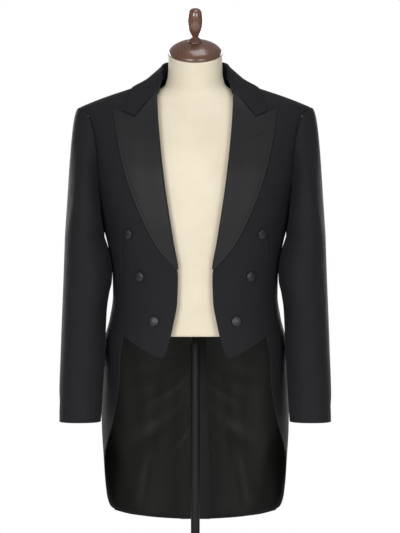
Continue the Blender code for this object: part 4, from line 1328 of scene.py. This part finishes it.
def add_flat_map(item):
    """Gives a small piece the same kind of map as the cloth: metres across and up."""
    mesh = item.data
    layer = mesh.uv_layers.new(name="cloth")
    places = np.zeros(len(mesh.vertices) * 3, np.float32)
    mesh.vertices.foreach_get("co", places)
    corners = np.zeros(len(mesh.loops), np.int32)
    mesh.loops.foreach_get("vertex_index", corners)
    layer.uv.foreach_set("vector", places.reshape(-1, 3)[corners][:, [0, 2]].ravel())


# ---------------------------------------- sleeves


def sleeve_ring_point(turn, height):
    outer, inner = SLEEVE.read(height, "outer_x"), SLEEVE.read(height, "inner_x")
    x, y = section_point(SLEEVE.read(height, "half_depth"), (outer - inner) / 2, (outer - inner) / 2,
                         SLEEVE_SQUARENESS, turn)
    centre_y = SLEEVE.read(height, "centre_y")
    return np.stack([(outer + inner) / 2 - y, centre_y - x, HEM_ABOVE_FLOOR + height], -1)


def sleeve_middle(turn, down):
    turn, down = np.broadcast_arrays(turn % 360.0, down)
    level = SLEEVE_RING_HEIGHT + (CUFF_HEIGHT - SLEEVE_RING_HEIGHT) * np.clip(down - 1.0, 0.0, 1.0)
    straight = sleeve_ring_point(turn, level)
    height = ARMHOLE_MIDDLE + ARMHOLE_HALF * np.cos(np.radians(turn))
    reach = np.where(turn <= 180.0, -ARMHOLE_FRONT_REACH, ARMHOLE_BACK_REACH)
    angle = armhole_angle(height, reach)
    seam, normal = body_middle(angle, height), body_normal(angle, height)
    ring = sleeve_ring_point(turn, np.full(turn.shape, SLEEVE_RING_HEIGHT))
    topness = 0.5 + 0.5 * np.cos(np.radians(turn))[..., None]
    sideways = np.abs(np.sin(np.radians(turn)))[..., None]
    forward = np.array((1.0, 0.0, 0.0)) - np.array((0.0, 0.0, 0.10)) * topness
    leaving = unit(forward + (normal - forward) * 0.8 * sideways)
    start = seam + leaving * ARMHOLE_GAP
    first = start + leaving * (HEAD_REACH_UNDER + HEAD_REACH_MORE_ON_TOP * topness)
    rise = HEAD_CURVE_SHARE * (seam[..., 2] - ring[..., 2])
    second = ring + np.stack([-HEAD_DRAWN_IN * topness[..., 0], np.zeros_like(rise), rise], -1)
    head = bezier([start, first, second, ring], np.clip(down, 0.0, 1.0)[..., None])
    return np.where(down[..., None] < 1.0, head, straight)


def make_sleeves():
    downs = np.concatenate([spaced(60, 0.25, True, False), 1.0 + np.linspace(0.0, 1.0, 104)[1:]])[:, None]
    hind = HIND_SLEEVE_SEAM - 360.0
    pieces = (("top", hind, FRONT_SLEEVE_SEAM, 84), ("under", FRONT_SLEEVE_SEAM, HIND_SLEEVE_SEAM, 48))
    for kind, first, last, columns in pieces:
        turns = first + (last - first) * spaced(columns, 0.20)[None, :]
        base = sleeve_middle(turns, downs)
        across = np.radians((turns + 180.0) % 360.0 - 180.0) * SLEEVE_MEAN_RADIUS
        for name, side in SIDES:
            heights = base[..., 2] - HEM_ABOVE_FLOOR
            shift = 0.006 if side > 0 else -0.004
            relief = creased(across, heights + shift, SLEEVE_CREASES) * smooth(0.0, 0.25, downs)
            puckers = 0.0003 * np.sin(turns / 3.1) * np.exp(-((downs / 0.05) ** 2))
            points = base + grid_normals(base) * (relief + puckers)[..., None]
            points = dipped(points, left=True, right=True, bottom=True, dip=0.0005)
            wool_panel(f"sleeve_{kind}", name, side, points)


# ---------------------------------------- floor, light, camera


def make_studio():
    floor_radius = 1.8
    turns = np.linspace(0.0, 2 * math.pi, 96, endpoint=False)
    rings = np.array([
        np.stack([r * np.cos(turns), r * np.sin(turns), np.full(96, -0.0005)], -1)
        for r in np.linspace(0.01, floor_radius, 12)
    ])
    floor = closed_rings("studio_floor", rings[::-1])
    floor.data.materials.append(floor_look(floor_radius))
    world = bpy.data.worlds.new("studio")
    bpy.context.scene.world = world
    world.use_nodes = True
    tree = world.node_tree
    surround = tree.nodes["Background"]
    surround.inputs["Color"].default_value = (1.0, 1.0, 1.0, 1.0)
    seen = tree.nodes.new("ShaderNodeLightPath").outputs["Is Camera Ray"]
    strength = tree.nodes.new("ShaderNodeMapRange")
    tree.links.new(seen, strength.inputs["Value"])
    strength.inputs["To Min"].default_value = SURROUND_LIGHT
    strength.inputs["To Max"].default_value = 1.0
    tree.links.new(strength.outputs[0], surround.inputs["Strength"])
    lights = (
        # name, place, aim, size, power
        ("key_softbox", (-1.5, -3.7, 1.35), (0.0, 0.0, 0.80), 1.5, 105.0),
        ("fill_softbox", (1.7, -3.7, 1.15), (0.0, 0.0, 0.75), 1.5, 72.0),
        ("top_softbox", (0.3, -0.6, 3.2), (0.0, 0.0, 0.9), 1.2, 22.0),
        ("left_back_softbox", (-1.9, 3.2, 1.5), (0.0, 0.0, 0.8), 1.4, 75.0),
        ("right_back_softbox", (1.6, 3.4, 1.3), (0.0, 0.0, 0.8), 1.4, 60.0),
    )
    for name, place, aim, size, power in lights:
        data = bpy.data.lights.new(name, "AREA")
        data.size, data.energy = size, power
        item = bpy.data.objects.new(name, data)
        item.location = place
        item.rotation_euler = (Vector(aim) - Vector(place)).to_track_quat("-Z", "Y").to_euler()
        bpy.context.scene.collection.objects.link(item)
    bpy.context.scene.view_settings.view_transform = "Standard"


def make_camera():
    distance, frame_height, sensor = 4.5, 1.0767, 36.0
    data = bpy.data.cameras.new("studio_camera")
    data.sensor_width = sensor
    data.lens = sensor * distance / frame_height
    data.clip_end = 60.0
    camera = bpy.data.objects.new("studio_camera", data)
    camera.location = (0.0095, -distance, HEM_ABOVE_FLOOR + 0.525)
    camera.rotation_euler = (math.radians(90.0), 0.0, 0.0)
    bpy.context.scene.collection.objects.link(camera)
    bpy.context.scene.camera = camera


make_form()
make_cap()
make_neck_cord()
make_stand()
make_foreparts()
make_sidebodies()
make_backs()
make_tails()
make_linings()
make_lapels()
make_collar()
make_welt()
make_buttonhole()
make_buttons()
make_sleeves()
make_studio()
make_camera()
